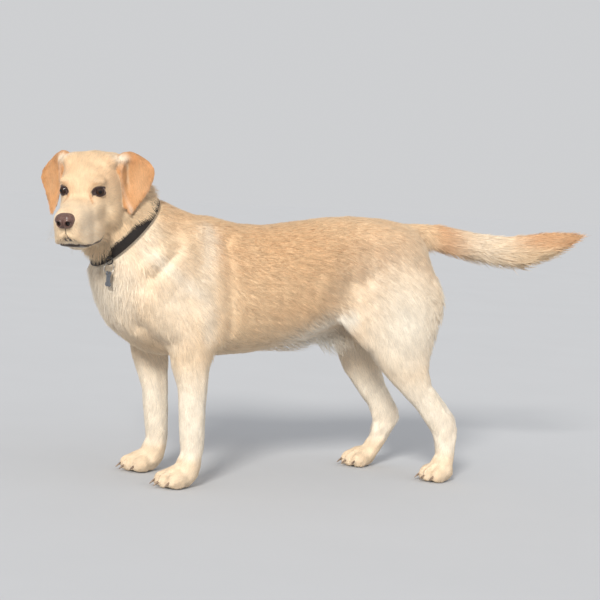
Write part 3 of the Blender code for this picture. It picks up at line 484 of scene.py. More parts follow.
def face_sculpt(head, normals):
    """Moves points, in the head's axes, into the folds of a dog's face."""
    x, y, z = head.T
    mirror = one_side(head)
    side = mirror[:, 0]
    push = np.zeros(len(head))
    # The furrow from the stop up the forehead, and the two planes of the nose bridge
    push -= 0.0009 * near_path(head, FURROW, 0.007)
    push += 0.0008 * bell(side - 0.013, 0.007) * blob(head, (0, 0.004, 0.04), (0.04, 0.02, 0.025))
    # Brows over the inner corners of the eyes
    push += 0.0005 * blob(mirror, (0.0245, -0.012, 0.0165), (0.009, 0.009, 0.006))
    push += 0.0011 * blob(mirror, (0.038, 0.002, 0.018), (0.012, 0.01, 0.005))
    push -= 0.0014 * blob(mirror, (0.017, -0.022, -0.004), (0.007, 0.012, 0.008))
    # A hollow under the eye, and the fold behind the corner of the mouth
    push -= 0.0004 * near_path(mirror, UNDER_EYE, 0.006)
    push -= 0.0008 * near_path(mirror, MOUTH_FOLD, 0.006)
    # The parting under the nose, and the pads that carry the whiskers
    split = bell(x, 0.0016) * step(-y, 0.095, 0.103) * step(-z, 0.046, 0.052)
    push -= 0.0024 * split * (1 - step(-z, 0.07, 0.078))
    push += 0.0014 * blob(mirror, (0.015, -0.106, -0.066), (0.009, 0.012, 0.014))
    # The mouth: a groove, with the upper lip hanging over it
    above, live = lip_mask(head)
    push -= 0.0036 * bell(above, 0.0014) * live
    push += 0.0016 * bell(above - 0.0052, 0.004) * live
    push -= 0.0014 * bell(above + 0.0048, 0.0034) * live
    droop = 0.0062 * blob(mirror, (0.038, -0.032, -0.088), (0.014, 0.024, 0.016))
    # The ear's leaf: a fold a little behind its front edge, and a roll over the root. The left ear swings out
    hung = mirror.copy()
    hung[:, 0] += 0.012 * step(-z, -0.03, 0.045) * (x > 0)
    outer = step(-(normals[:, 1] * 0.8 - np.sign(x) * normals[:, 0] * 0.6), 0.0, 0.6)
    outer *= step(side, 0.055, 0.064)
    push -= 0.003 * near_path(hung, EAR_FOLD, 0.0048) * outer
    push += 0.0022 * near_path(hung, EAR_LEAF, 0.015) * outer
    for place in whisker_roots():
        push += 0.00035 * blob(mirror, place, (0.003, 0.0011, 0.0011))
    shaped = head + normals * push[:, None]
    shaped[:, 2] -= droop
    return shaped


RUFF_HOLLOW = ((0.086, -0.3, 0.582), (0.104, -0.274, 0.53), (0.106, -0.282, 0.49), (0.098, -0.325, 0.44))
RUFF_EDGE = ((0.08, -0.322, 0.585), (0.101, -0.298, 0.532), (0.103, -0.306, 0.497), (0.095, -0.343, 0.457))
# Muscles, folds and hollows of the body: a path on the left side, how wide, how high
RELIEF = (
    (((0.08, -0.215, 0.535), (0.1, -0.265, 0.46), (0.102, -0.32, 0.4)), 0.02, 0.0035),
    (((0.085, -0.17, 0.51), (0.112, -0.165, 0.41), (0.108, -0.15, 0.32)), 0.015, -0.0052),
    (((0.06, -0.385, 0.43), (0.072, -0.345, 0.33)), 0.012, -0.0042),
    (((0.09, -0.35, 0.39), (0.092, -0.345, 0.385)), 0.026, 0.003),
    (((0.108, -0.215, 0.35), (0.106, -0.2, 0.31)), 0.03, 0.0035),
    (((0.095, -0.178, 0.28), (0.095, -0.182, 0.268)), 0.013, 0.003),
    (((0.1, -0.275, 0.3), (0.085, -0.28, 0.27)), 0.013, -0.003),
    (((0.1, 0.115, 0.43), (0.104, 0.135, 0.38)), 0.026, -0.0054),
    (((0.094, 0.13, 0.46), (0.1, 0.17, 0.37), (0.09, 0.185, 0.31)), 0.012, 0.004),
    (((0.105, 0.07, 0.52), (0.118, 0.05, 0.42), (0.11, 0.01, 0.33)), 0.016, 0.0014),
    (((0.09, 0.32, 0.45), (0.105, 0.295, 0.36), (0.1, 0.29, 0.27)), 0.013, -0.0028),
    (((0.07, 0.24, 0.55), (0.085, 0.27, 0.51)), 0.034, 0.003),
    (((0.085, 0.14, 0.53), (0.088, 0.16, 0.5)), 0.022, -0.0028),
    (((0.06, 0.175, 0.57), (0.064, 0.18, 0.566)), 0.016, 0.0024),
    (RUFF_HOLLOW, 0.012, -0.0055),
    (RUFF_EDGE, 0.013, 0.006),
    (((0.0, -0.43, 0.44), (0.0, -0.395, 0.35)), 0.011, -0.0026),
    (((0.0, -0.12, 0.55), (0.0, 0.06, 0.567), (0.0, 0.22, 0.58)), 0.01, -0.0012),
    (((0.1, 0.34, 0.22), (0.1, 0.372, 0.165)), 0.009, -0.003),
    (((0.07, 0.34, 0.22), (0.074, 0.372, 0.165)), 0.009, -0.0026),
)


def body_relief(regions):
    """How far each point of the body is raised or sunk by the muscles and folds under the coat."""
    place = one_side(regions.body)
    height = np.zeros(len(place))
    for path, reach, rise in RELIEF:
        height += rise * near_path(place, path, reach)
    return height * (1 - regions.skull) * (1 - regions.tail) * (1 - regions.paw)


def toe_grooves(points):
    """How far each point of the paws is sunk between two toes."""
    depth = np.zeros(len(points))
    for paw in ("front_left", "front_right", "hind_left", "hind_right"):
        roots = [sum(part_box(f"claw_{paw}_{k}"), Vector()) / 2 for k in (1, 2, 3, 4)]
        roots.sort(key=lambda root: root.x)
        middle = sum(roots, Vector()) / 4
        for a, b in zip(roots, roots[1:]):
            start = (a + b) / 2
            end = start + Vector((0.25 * (middle.x - start.x), 0.042, 0))
            distance, along = to_path(points[:, :2], (start[:2], end[:2]))
            depth += (1 - along) ** 0.7 * bell(distance, TOE_GAP)
    return depth * (1 - step(points[:, 2], 0.036, 0.06))


def subdivide_where(thing, chosen):
    """Splits the edges whose two ends are both chosen."""
    shape = bmesh.new()
    shape.from_mesh(thing.data)
    edges = [edge for edge in shape.edges if all(chosen[end.index] for end in edge.verts)]
    bmesh.ops.subdivide_edges(shape, edges=edges, cuts=1, use_grid_fill=True, smooth=0)
    shape.to_mesh(thing.data)
    shape.free()


def smoothing(regions):
    """How freely each point of the skin follows its neighbours while it is smoothed."""
    weight = np.ones(len(regions.side))
    blend(weight, 0.22, step(1 - step(regions.body[:, 2], 0.2, 0.34), 0, 1))
    blend(weight, 0.12, regions.tail)
    blend(weight, 0.1, regions.paw)
    blend(weight, 0.13, regions.skull)
    cheek = blob(one_side(regions.head), (0.044, 0.0, -0.045), (0.02, 0.045, 0.035))
    blend(weight, 0.6, 0.8, cheek, regions.skull)
    blend(weight, 0.08, regions.ear)
    return weight


def thin_out(skin, plain):
    """Leaves fewer faces where the skin is plain."""
    group = skin.vertex_groups.new(name="plain")
    shares = np.round(plain * 4) / 4
    for share in np.unique(shares[shares > 0]):
        group.add(np.nonzero(shares == share)[0].tolist(), float(share), "REPLACE")
    modify(skin, "DECIMATE", ratio=SKIN_KEPT, vertex_group="plain")
    apply_all(skin)
    skin.vertex_groups.clear()


def build_skin():
    """The skin: the solids swollen into one, smoothed, drawn in by the coat's depth and sculpted."""
    skin = copy_of([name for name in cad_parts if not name.startswith(NOT_IN_SKIN)], "skin")
    modify(skin, "DISPLACE", strength=SWELL, mid_level=0)
    modify(skin, "REMESH", mode="VOXEL", voxel_size=GRAIN)
    apply_all(skin)
    points = points_of(skin.data)
    edges = read(skin.data.edges, "vertices", 2)
    regions = Regions(points)
    weight = smoothing(regions)
    points = relaxed(points, edges, weight, SMOOTH_ROUNDS)
    put_points(skin.data, points)
    points = points - normals_of(skin.data) * (coat_depth(regions) + SWELL)[:, None]
    points = relaxed(points, edges, 0.3 * weight, 6)
    put_points(skin.data, points)
    along, by_neck = collar_place(points)
    roll = 0.3 * (ruff_overlap(points) - RUFF_LEAST) * bell(along - 0.025, 0.01) * by_neck
    height = body_relief(regions) + roll * (1 - regions.skull) * (1 - regions.ear)
    height -= TOE_DEPTH * toe_grooves(points)
    put_points(skin.data, points + normals_of(skin.data) * height[:, None])
    thin_out(skin, (1 - regions.skull) * (1 - regions.paw) * (1 - regions.ear))
    refine_face(skin)
    head = into(HEAD, points_of(skin.data))
    shaped = face_sculpt(head, normals_of(skin.data) @ HEAD_AXES)
    near_face = (np.linalg.norm(head - (0, -0.01, -0.02), axis=1) < 0.15)[:, None]
    head = np.where(near_face, shaped, head)
    for side in (1, -1):
        head = open_eye(head, side)
    put_points(skin.data, out_of(HEAD, head))
    deselect()
    skin.data.shade_smooth()
    return skin


def refine_face(skin):
    """Splits the skin's faces on the muzzle, the lips and round the eyes, and once more at the lids."""
    head = into(HEAD, points_of(skin.data))
    muzzle = (head[:, 1] < -0.02) & (np.linalg.norm(head - (0, -0.05, -0.05), axis=1) < 0.095)
    eyes = [away < 0.028 for _, away, _ in by_eye(head)]
    above, live = lip_mask(head)
    lips = (np.abs(above) < 0.01) & (live > 0.1) & (np.linalg.norm(head, axis=1) < 0.15)
    subdivide_where(skin, muzzle | lips | eyes[0] | eyes[1])
    head = into(HEAD, points_of(skin.data))
    lids = [(away < 0.024) & (local[:, 2] > 0) & (gap < 0.008) for local, away, gap in by_eye(head)]
    subdivide_where(skin, lids[0] | lids[1])


# -------------------- lie and colour of the coat

# Which way the hair lies on the body: place and heading, on the left side and the middle
BODY_LIE = (
    ((0, -0.42, 0.625), (0, 0.8, -0.55)),
    ((0, -0.33, 0.6), (0, 0.85, -0.5)),
    ((0, -0.22, 0.57), (0, 1.0, -0.15)),
    ((0, -0.08, 0.55), (0, 1.0, 0.0)),
    ((0, 0.06, 0.565), (0, 1.0, 0.03)),
    ((0, 0.18, 0.575), (0, 1.0, 0.0)),
    ((0, 0.27, 0.565), (0, 0.95, -0.25)),
    ((0.06, -0.38, 0.57), (0.2, 0.7, -0.7)),
    ((0.08, -0.32, 0.52), (0.1, 0.75, -0.68)),
    ((0.07, -0.4, 0.48), (0.2, 0.3, -0.95)),
    ((0.09, -0.24, 0.5), (0.1, 0.85, -0.5)),
    ((0.11, -0.26, 0.42), (0, 0.5, -0.87)),
    ((0.1, -0.34, 0.39), (0, 0.1, -1.0)),
    ((0.1, -0.3, 0.32), (0, 0.15, -1.0)),
    ((0.1, -0.17, 0.4), (0, 0.8, -0.6)),
    ((0.11, -0.19, 0.31), (0, 0.45, -0.9)),
    ((0.11, -0.06, 0.49), (0, 1.0, -0.22)),
    ((0.12, -0.06, 0.4), (0, 0.95, -0.35)),
    ((0.11, -0.06, 0.32), (0, 0.95, -0.3)),
    ((0.11, 0.07, 0.49), (0, 1.0, -0.22)),
    ((0.11, 0.07, 0.4), (0, 0.95, -0.3)),
    ((0.06, 0.04, 0.31), (0, 1.0, -0.05)),
    ((0.075, 0.0, 0.32), (0, 0.6, -0.8)),
    ((0.092, 0.06, 0.35), (0, 0.45, -0.9)),
    ((0.1, 0.15, 0.43), (0, 0.85, -0.5)),
    ((0.09, 0.13, 0.35), (0, 0.55, -0.85)),
    ((0.05, -0.15, 0.265), (0, 1.0, 0.0)),
    ((0.03, -0.28, 0.29), (0, 0.8, -0.55)),
    ((0, -0.42, 0.45), (0, 0.05, -1.0)),
    ((0.03, -0.4, 0.38), (0.15, 0.25, -1.0)),
    ((0, -0.43, 0.52), (0, 0.25, -0.95)),
    ((0.1, 0.24, 0.5), (0, 0.75, -0.66)),
    ((0.11, 0.24, 0.4), (0, 0.45, -0.9)),
    ((0.1, 0.17, 0.31), (0, 0.25, -0.97)),
    ((0.05, 0.34, 0.48), (-0.1, 0.3, -0.95)),
    ((0.07, 0.34, 0.38), (0.05, 0.25, -0.97)),
    ((0.09, 0.3, 0.29), (0, 0.4, -0.92)),
    ((0.04, 0.24, 0.33), (0, 0.3, -0.95)),
    ((0.086, 0.31, 0.21), (0, 0.55, -0.84)),
    ((0.088, 0.38, 0.15), (0, 0.25, -0.97)),
    ((0.088, 0.37, 0.08), (0, -0.15, -1.0)),
    ((0.088, 0.34, 0.03), (0, -0.85, -0.5)),
    ((0.085, 0.27, 0.06), (0, -0.3, -0.95)),
    ((0.085, 0.24, 0.03), (0, -0.85, -0.5)),
    ((0.083, -0.22, 0.24), (0, 0.2, -0.98)),
    ((0.083, -0.22, 0.15), (0, 0.1, -1.0)),
    ((0.083, -0.22, 0.07), (0, -0.25, -0.97)),
    ((0.083, -0.27, 0.03), (0, -0.88, -0.45)),
)
TAIL_LIE = (
    ((0.005, 0.33, 0.545), (0.22, 0.95, -0.1)),
    ((0.03, 0.4, 0.535), (0.24, 0.95, -0.22)),
    ((0.05, 0.48, 0.52), (0.24, 0.95, -0.15)),
    ((0.065, 0.56, 0.515), (0.24, 0.96, 0.06)),
    ((0.085, 0.64, 0.535), (0.24, 0.92, 0.28)),
)
HEAD_LIE = (
    ((0, -0.095, -0.015), (0, 0.95, 0.3)),
    ((0, -0.055, -0.008), (0, 0.95, 0.3)),
    ((0, -0.02, 0.01), (0, 0.75, 0.65)),
    ((0, 0.01, 0.045), (0, 0.75, 0.65)),
    ((0, 0.05, 0.068), (0, 1.0, 0.1)),
    ((0, 0.1, 0.06), (0, 0.9, -0.4)),
    ((0, 0.135, 0.01), (0, 0.5, -0.85)),
    ((0.022, -0.09, -0.045), (0.5, 0.85, -0.1)),
    ((0.034, -0.06, -0.05), (0.25, 0.95, -0.15)),
    ((0.036, -0.06, -0.085), (0.2, 0.75, -0.6)),
    ((0.012, -0.108, -0.07), (0.55, 0.2, -0.8)),
    ((0.038, -0.02, -0.035), (0.25, 0.92, -0.25)),
    ((0.048, -0.01, -0.08), (0.15, 0.85, -0.5)),
    ((0.02, -0.012, 0.01), (0.4, 0.4, 0.8)),
    ((0.04, 0.0, 0.022), (0.6, 0.55, 0.55)),
    ((0.055, 0.015, 0.0), (0.3, 0.95, -0.05)),
    ((0.062, 0.03, -0.03), (0.1, 0.9, -0.4)),
    ((0.062, 0.05, -0.07), (0, 0.65, -0.75)),
    ((0.05, 0.035, 0.045), (0.3, 0.9, 0.2)),
    ((0.06, 0.08, 0.0), (0, 0.6, -0.8)),
    ((0.03, 0.02, -0.112), (0.1, 0.9, -0.3)),
    ((0.01, -0.06, -0.11), (0.2, 0.95, 0.0)),
    ((0, -0.09, -0.1), (0, 0.4, -0.9)),
)
EAR_LIE = (0.12, -0.1, -1.0)
BODY_REACH = 0.045
HEAD_REACH = 0.018


def gathered(points, rows, reach):
    """Headings mixed from the nearest rows of a table that stands for both sides."""
    rows = mirrored(rows)
    places = np.array([row[0] for row in rows])
    headings = unit(np.array([row[1] for row in rows], float))
    total = np.zeros((len(points), 3))
    for start in range(0, len(points), 20000):
        part = points[start : start + 20000]
        square = np.sum((part[:, None] - places[None]) ** 2, axis=2)
        square -= square.min(axis=1, keepdims=True)
        total[start : start + 20000] = np.exp(-square / (2 * reach * reach)) @ headings
    return unit(total)


def lie_of(regions, normals):
    """The way the hair lies at each point, in the skin's plane."""
    heading = gathered(regions.body, BODY_LIE, BODY_REACH)
    along_tail = unit(np.array([row[1] for row in TAIL_LIE]))
    ys = [row[0][1] for row in TAIL_LIE]
    tail = np.stack([np.interp(regions.body[:, 1], ys, along_tail[:, k]) for k in range(3)], 1)
    blend(heading, tail, regions.tail[:, None])
    face = gathered(regions.head, HEAD_LIE, HEAD_REACH) @ HEAD_AXES.T
    blend(heading, face, regions.skull[:, None])
    sided = np.sign(regions.head[:, 0])[:, None] * (EAR_LIE[0], 0, 0) + (0, EAR_LIE[1], EAR_LIE[2])
    blend(heading, unit(sided) @ HEAD_AXES.T, regions.ear[:, None])
    heading -= normals * np.sum(heading * normals, axis=1)[:, None]
    return unit(heading)


def ripples(points, wave, seed):
    """A smooth, even field between -1 and 1 that varies over about the given length."""
    random = np.random.default_rng(seed)
    total = np.zeros(len(points))
    for _ in range(6):
        heading = random.normal(size=3)
        heading *= 2 * math.pi / (wave * random.uniform(0.7, 1.6) * np.linalg.norm(heading))
        total += np.sin(points @ heading + random.uniform(0, 6.28))
    return total / 3.0


# The coat's markings on the left side: how strong, then a middle and how far each reaches, or a path
GOLD = (
    (0.75, (0.12, 0.02, 0.4), (0.1, 0.2, 0.085)),
    (0.6, (0.06, 0.31, 0.48), (0.06, 0.06, 0.05)),
)
PALE = (
    (1.0, (0.0, 0.09, 0.3), (0.09, 0.15, 0.05)),
    (1.0, (0.1, 0.25, 0.35), (0.11, 0.125, 0.145)),
    (0.8, (0.04, -0.4, 0.4), (0.1, 0.09, 0.11)),
    (0.55, (0.1, -0.28, 0.38), (0.06, 0.09, 0.13)),
    (0.8, (0.06, 0.35, 0.42), (0.09, 0.035, 0.09)),
    (0.75, ((0.085, -0.355, 0.5), (0.098, -0.3, 0.455), (0.106, -0.23, 0.4)), 0.022),
    (0.6, ((0.077, -0.216, 0.529), (0.105, -0.219, 0.422), (0.113, -0.211, 0.321)), 0.026),
    (1.0, ((0.07, 0.0, 0.3), (0.09, 0.06, 0.335), (0.092, 0.12, 0.36)), 0.032),
    (0.9, ((0.083, -0.345, 0.58), (0.098, -0.332, 0.53), (0.096, -0.35, 0.485)), 0.028),
)
PALE_TAIL = ((0.55, (0.0, 0.47, 0.53), (0.2, 0.075, 0.1)),)
PALE_HEAD = (
    (0.55, (0.0, -0.075, -0.1), (0.05, 0.06, 0.035)),
    (0.35, (0.02, -0.07, -0.05), (0.04, 0.05, 0.04)),
)
PALE_EAR = ((0.45, ((0.067, 0.048, 0.045), (0.069, 0.05, -0.01), (0.087, 0.05, -0.066)), 0.0045),)
TAN_HOCKS = ((0.75, (0.09, 0.415, 0.165), (0.04, 0.035, 0.07)),)
TAN_RIGHT_SHANK = ((0.55, (0.085, 0.345, 0.15), (0.03, 0.03, 0.07)),)
TAN_HEAD = (
    (0.3, (0.055, 0.03, 0.03), (0.03, 0.05, 0.04)),
    (0.22, (0.03, -0.02, 0.004), (0.03, 0.03, 0.02)),
    (0.42, (0.0305, -0.012, 0.016), (0.0085, 0.012, 0.0036)),
    # The fold's painted shade below the eye, in tan
    (0.8, FOLD_SHADE_LINE, 0.003),
)
WHITE_CROWN = ((0.046, 0.056, 0.05), (0.06, 0.052, 0.056), (0.07, 0.06, 0.058))


def raised(values, points, rows, share=1.0):
    """Values raised, where a share allows it, to the bells of a table of markings."""
    for strength, place, reach in rows:
        shape = blob if isinstance(reach, tuple) else near_path
        values = np.maximum(values, strength * share * shape(points, place, reach))
    return values


def markings(regions, points):
    """How golden, how pale and how orange the coat is at each point, and where the skin is dark or pink."""
    x, y, z = regions.body.T
    head = one_side(regions.head)
    body = one_side(regions.body)
    off_head = 1 - regions.skull
    uneven = ripples(points, 0.11, 3)
    gold = step(z + 0.012 * uneven, 0.33, 0.5) * step(y + 0.02 * uneven, -0.32, -0.1)
    gold *= 1 - step(y - 0.6 * (z - 0.45), 0.16, 0.34)
    back = 0.7 * step(z, 0.5, 0.56) * step(y, -0.36, -0.25) * (1 - regions.tail)
    gold = np.maximum(raised(gold, body, GOLD), back)
    gold *= 1 - 0.38 * step(z, 0.49, 0.56) * step(y, -0.04, 0.1)
    gold *= off_head * (1 - regions.leg)
    gold *= 1 - 0.65 * blob(body, (0.11, 0.24, 0.4), (0.1, 0.1, 0.1))
    pale = 0.85 * (1 - step(z, 0.17, 0.34)) * (1 - regions.paw * 0.6)
    pale = raised(pale, body, PALE)
    pale *= off_head * (1 - regions.tail)
    pale = raised(pale, body, PALE_TAIL, regions.tail)
    pale = raised(pale, head, PALE_HEAD, regions.skull)
    white = near_path(head, WHITE_CROWN, 0.011)
    pale = np.maximum(pale, 0.6 * white)
    pale = raised(pale, head, PALE_EAR, regions.ear)
    tan = raised(0.95 * regions.ear, body, TAN_HOCKS, z > 0.05)
    tan = raised(tan, body, TAN_RIGHT_SHANK, x < 0)
    tan = np.maximum(tan, 0.6 * regions.tail * (1 - step(y, 0.36, 0.46)))
    tan = np.maximum(tan, 0.58 * regions.tail * step(z, 0.515, 0.54) * step(y, 0.5, 0.58))
    tan = raised(tan, head, TAN_HEAD, regions.skull)
    tan *= 1 - 0.85 * white
    tan *= 1 - 0.2 * regions.ear * blob(head, (0.095, 0.08, 0.0), (0.02, 0.05, 0.05))
    tan = np.maximum(tan, 0.25 * blob(body, (0.0, -0.31, 0.59), (0.05, 0.09, 0.04)) * off_head)
    colours = np.clip(np.stack([gold, pale, tan], 1), 0, 1)
    return colours, np.clip(np.stack(bare_skin(regions, head, body), 1), 0, 1)


def bare_skin(regions, head, body):
    """Dark rims of the eyes and lips, painted shade of the fold below each eye's inner corner, and the pink
    of thinly haired skin.
    """
    x, y, z = head.T
    dark = np.zeros(len(head))
    corner = (-LID_HALF * math.cos(LID_TILT), -LID_HALF * math.sin(LID_TILT))
    for local, away, gap in by_eye(regions.head):
        front = (local[:, 2] > 0) & (away < 0.026)
        rim = (1 - step(gap, 0.0034, 0.0059)) * front
        tear = 0.85 * near_path(local[:, :2], (corner, (-0.0165, -0.0085)), 0.0019) * front
        dark = np.maximum.reduce([dark, rim, tear])
    # Painted shade of the fold below each eye's inner corner, fainter further down
    fold_shade, along = to_path(head, FOLD_SHADE_LINE)
    fold_shade = 0.34 * (1 - 0.6 * along) * bell(fold_shade, 0.0022)
    above, live = lip_mask(regions.head)
    near_face = np.linalg.norm(regions.head, axis=1) < 0.16
    lips = 1 - step(above - 0.0034 * step(y, -0.088, -0.07), 0.0002, 0.002)
    lips = 0.95 * (lips * step(above, -0.0044, -0.0026) * live * near_face)
    split = 0.9 * (bell(x, 0.0013) * step(-y, 0.094, 0.1))
    split = split * step(-z, 0.044, 0.05) * (1 - step(-z, 0.072, 0.078))
    nose = step(blob(head, (0.0, -0.103, -0.036), (0.0225, 0.013, 0.0175)), 0.44, 0.62)
    soles = (1 - step(body[:, 2], 0.0015, 0.006)) * (body[:, 2] < 0.02)
    dark = np.maximum.reduce([dark, fold_shade, lips, split, nose, soles])
    pink = 0.75 * blob(body, (0.0, 0.17, 0.318), (0.03, 0.07, 0.03))
    return dark, np.maximum(pink, 0.4 * blob(body, (0.045, 0.19, 0.335), (0.03, 0.05, 0.04)))


# -------------------- the coat

BAKE_MAP = "OFBake"
PATCH = 0.003  # each tuft's place on the coat's map
COLLAR_CLEAR = 0.0125  # half the width of the strip that the collar keeps bare
RUFF_LEAST = 0.007  # how far the ruff's hair may lie over the collar at the neck's sides
HAIR_FLOOR = 0.0006  # no tip hangs lower than this


class Coat:
    """The skin's triangles with what the coat needs to know at their corners."""

    def __init__(self, skin):
        mesh = skin.data
        mesh.calc_loop_triangles()
        self.corners = read(mesh.loop_triangles, "vertices", 3)
        self.loops = read(mesh.loop_triangles, "loops", 3)
        self.faces = read(mesh.loop_triangles, "polygon_index")
        self.points = points_of(mesh)
        self.normals = normals_of(mesh)
        self.regions = Regions(self.points)
        self.lie = lie_of(self.regions, self.normals)
        self.colour, self.bare = markings(self.regions, self.points)
        self.depth = coat_depth(self.regions)
        a, b, c = (self.points[self.corners[:, k]] for k in range(3))
        self.areas = np.linalg.norm(np.cross(b - a, c - a), axis=1) / 2

    def mean(self, values):
        """Each triangle's mean of values at the points."""
        return values[self.corners].mean(axis=1)

    def on(self, values, picked, parts):
        """Values of the points, read off at places inside triangles."""
        found = values[self.corners[picked]]
        if found.ndim == 2:
            return np.sum(found * parts, axis=1)
        return np.sum(found * parts[:, :, None], axis=1)


def scattered(areas, density, random):
    """Even places on triangles: which triangle, and the weights of its corners."""
    share = np.cumsum(areas * density)
    count = int(share[-1])
    marks = (np.arange(count) + random.random(count)) / count * share[-1]
    picked = np.minimum(np.searchsorted(share, marks), len(areas) - 1)
    u = np.sqrt(random.random(count))
    v = random.random(count)
    return picked, np.stack([1 - u, u * (1 - v), u * v], axis=1)


def collar_place(points):
    """How far points are along the collar's axis from its middle, and whether they are by the neck."""
    offset = into(BODY, points) - np.array(COLLAR_PLACE)
    along = offset @ np.array(COLLAR_AXIS)
    out = np.linalg.norm(offset - along[:, None] * np.array(COLLAR_AXIS), axis=1)
    return along, out < 0.125


def ruff_overlap(points):
    """How far the ruff's hair may lie over the collar: most at the nape and the throat."""
    x, y, z = (into(BODY, points) - np.array(COLLAR_PLACE)).T
    nape = step(z - 0.9 * np.abs(x), -0.05, -0.012)
    throat = step(-y - 0.9 * z, 0.07, 0.096) * step(0.076 - np.abs(x), 0.0, 0.025)
    return RUFF_LEAST + np.maximum(0.019 * nape, 0.027 * throat)


def over_collar(points, strap):
    """Points lifted, where the collar is under them, to just above its outer face."""
    place, axis, front, left = strap.frame
    offset = points - place
    along = offset @ axis
    ahead = offset @ front
    aside = offset @ left
    out = np.hypot(ahead, aside)
    low, high = strap.inner(np.arctan2(aside, ahead))
    share = np.clip(along / COLLAR_WIDTH + 0.5, 0, 1)
    face = low + (high - low) * share + COLLAR_THICK + 0.001
    near = 1 - step(np.abs(along), 0.5 * COLLAR_WIDTH + 0.001, COLLAR_WIDTH)
    lift = np.clip(face - out, 0, 0.012) * near / out
    return points + (ahead * lift)[..., None] * front + (aside * lift)[..., None] * left


def unwrapped(skin, wanted):
    """A map of some of the skin's faces, laid out by their own shape: places for the loops of the skin."""
    kept = np.zeros(len(skin.data.polygons), bool)
    kept[wanted] = True
    shape = bmesh.new()
    shape.from_mesh(skin.data)
    bmesh.ops.delete(shape, geom=[face for face in shape.faces if not kept[face.index]], context="FACES")
    mesh = bpy.data.meshes.new("patch")
    shape.to_mesh(mesh)
    shape.free()
    patch = linked("patch", mesh)
    activate(patch)
    mesh.uv_layers.new(name=BAKE_MAP)
    edit_all(bpy.ops.uv.smart_project, angle_limit=1.15, island_margin=0.006, scale_to_bounds=True)
    flat = read(mesh.uv_layers[BAKE_MAP].data, "uv", 2, np.float32)
    bpy.data.objects.remove(patch)
    places = np.zeros((len(skin.data.loops), 2))
    places[np.repeat(kept, read(skin.data.polygons, "loop_total"))] = flat
    return places


def paint(mesh, name, colours):
    """Keeps a colour for each of the mesh's points under a name."""
    layer = mesh.attributes.new(name, "FLOAT_COLOR", "POINT")
    layer.data.foreach_set("color", colours.astype(np.float32).ravel())


def tuft_mesh(name, points, kind, tint, uv, facing):
    """A mesh of many like tufts: points, tint, uv and the way each is lit from are (tufts, corners, ...)."""
    tufts, corners, _ = points.shape
    triangles = np.asarray(kind["faces"])
    faces = (np.arange(tufts)[:, None, None] * corners + triangles[None]).reshape(-1, 3)
    mesh = bpy.data.meshes.new(name)
    mesh.vertices.add(tufts * corners)
    mesh.vertices.foreach_set("co", points.astype(np.float32).ravel())
    mesh.loops.add(faces.size)
    mesh.loops.foreach_set("vertex_index", faces.astype(np.int32).ravel())
    mesh.polygons.add(len(faces))
    mesh.polygons.foreach_set("loop_start", (np.arange(len(faces)) * 3).astype(np.int32))
    mesh.update(calc_edges=True)
    mesh.polygons.foreach_set("use_smooth", np.ones(len(faces), bool))
    layer = mesh.uv_layers.new(name=BAKE_MAP)
    layer.data.foreach_set("uv", uv.reshape(-1, 2)[faces.ravel()].astype(np.float32).ravel())
    paint(mesh, "coat", tint)
    turned = facing[:, triangles.ravel()].reshape(tufts, len(triangles), 3, 3)
    turned[:, kind["under"]] *= -1
    mesh.normals_split_custom_set(turned.reshape(-1, 3).astype(np.float32))
    return linked(name, mesh)


# A tuft is a needle of triangular section, bent once where it is long. The tables give the most tufts in a
# piece, a tuft's faces, those of them that look down, and for each corner its place on the map's patch, how
# far its light comes from aside and from ahead, and how near it is to the tip
SHORT = {
    "most": 49000,
    "faces": ((0, 2, 3), (2, 1, 3), (1, 0, 3), (0, 1, 2)),
    "under": [2, 3],
    "patch": ((-0.5, -0.5), (0.5, -0.5), (0.0, -0.2), (0.0, 0.5)),
    "aside": (-0.28, 0.28, 0.0, 0.0),
    "ahead": (-0.12, -0.12, -0.12, 0.12),
    "tip": (0.0, 0.0, 0.0, 1.0),
}
LONG = {
    "most": 19600,
    "faces": (
        (0, 2, 3), (3, 2, 5), (2, 1, 5), (5, 1, 4), (3, 5, 6),
        (5, 4, 6), (1, 0, 4), (4, 0, 3), (4, 3, 6), (0, 1, 2),
    ),
    "under": [6, 7, 8, 9],
    "patch": ((-0.5, -0.5), (0.5, -0.5), (0.0, -0.2), (-0.36, 0.0), (0.36, 0.0), (0.0, 0.1), (0.0, 0.5)),
    "aside": (-0.28, 0.28, 0.0, -0.22, 0.22, 0.0, 0.0),
    "ahead": (-0.12, -0.12, -0.12, 0.0, 0.0, 0.0, 0.12),
    "tip": (0.0, 0.0, 0.0, 0.5, 0.5, 0.5, 1.0),
}


def grown(root, normal, heading, length, width, lift, curl, arch, long):
    """Corner points of tufts that stand on their roots, each with its own size, lift and curl."""
    side = np.cross(heading, normal)
    across = side * (width / 2)[:, None]
    ridge = normal * (width * 0.3)[:, None]
    base = root - normal * (width * 0.3)[:, None]
    reach = heading * length[:, None]
    tip = root + reach + normal * lift[:, None] + side * curl[:, None]
    corners = [base - across, base + across, base + ridge + ridge]
    if long:
        half = root + reach * 0.5 + normal * (lift * arch)[:, None] + side * (curl * 0.3)[:, None]
        waist = across * 0.72
        corners += [half - waist - ridge * 0.5, half + waist - ridge * 0.5, half + ridge * 0.7]
    return np.stack([*corners, tip], axis=1)


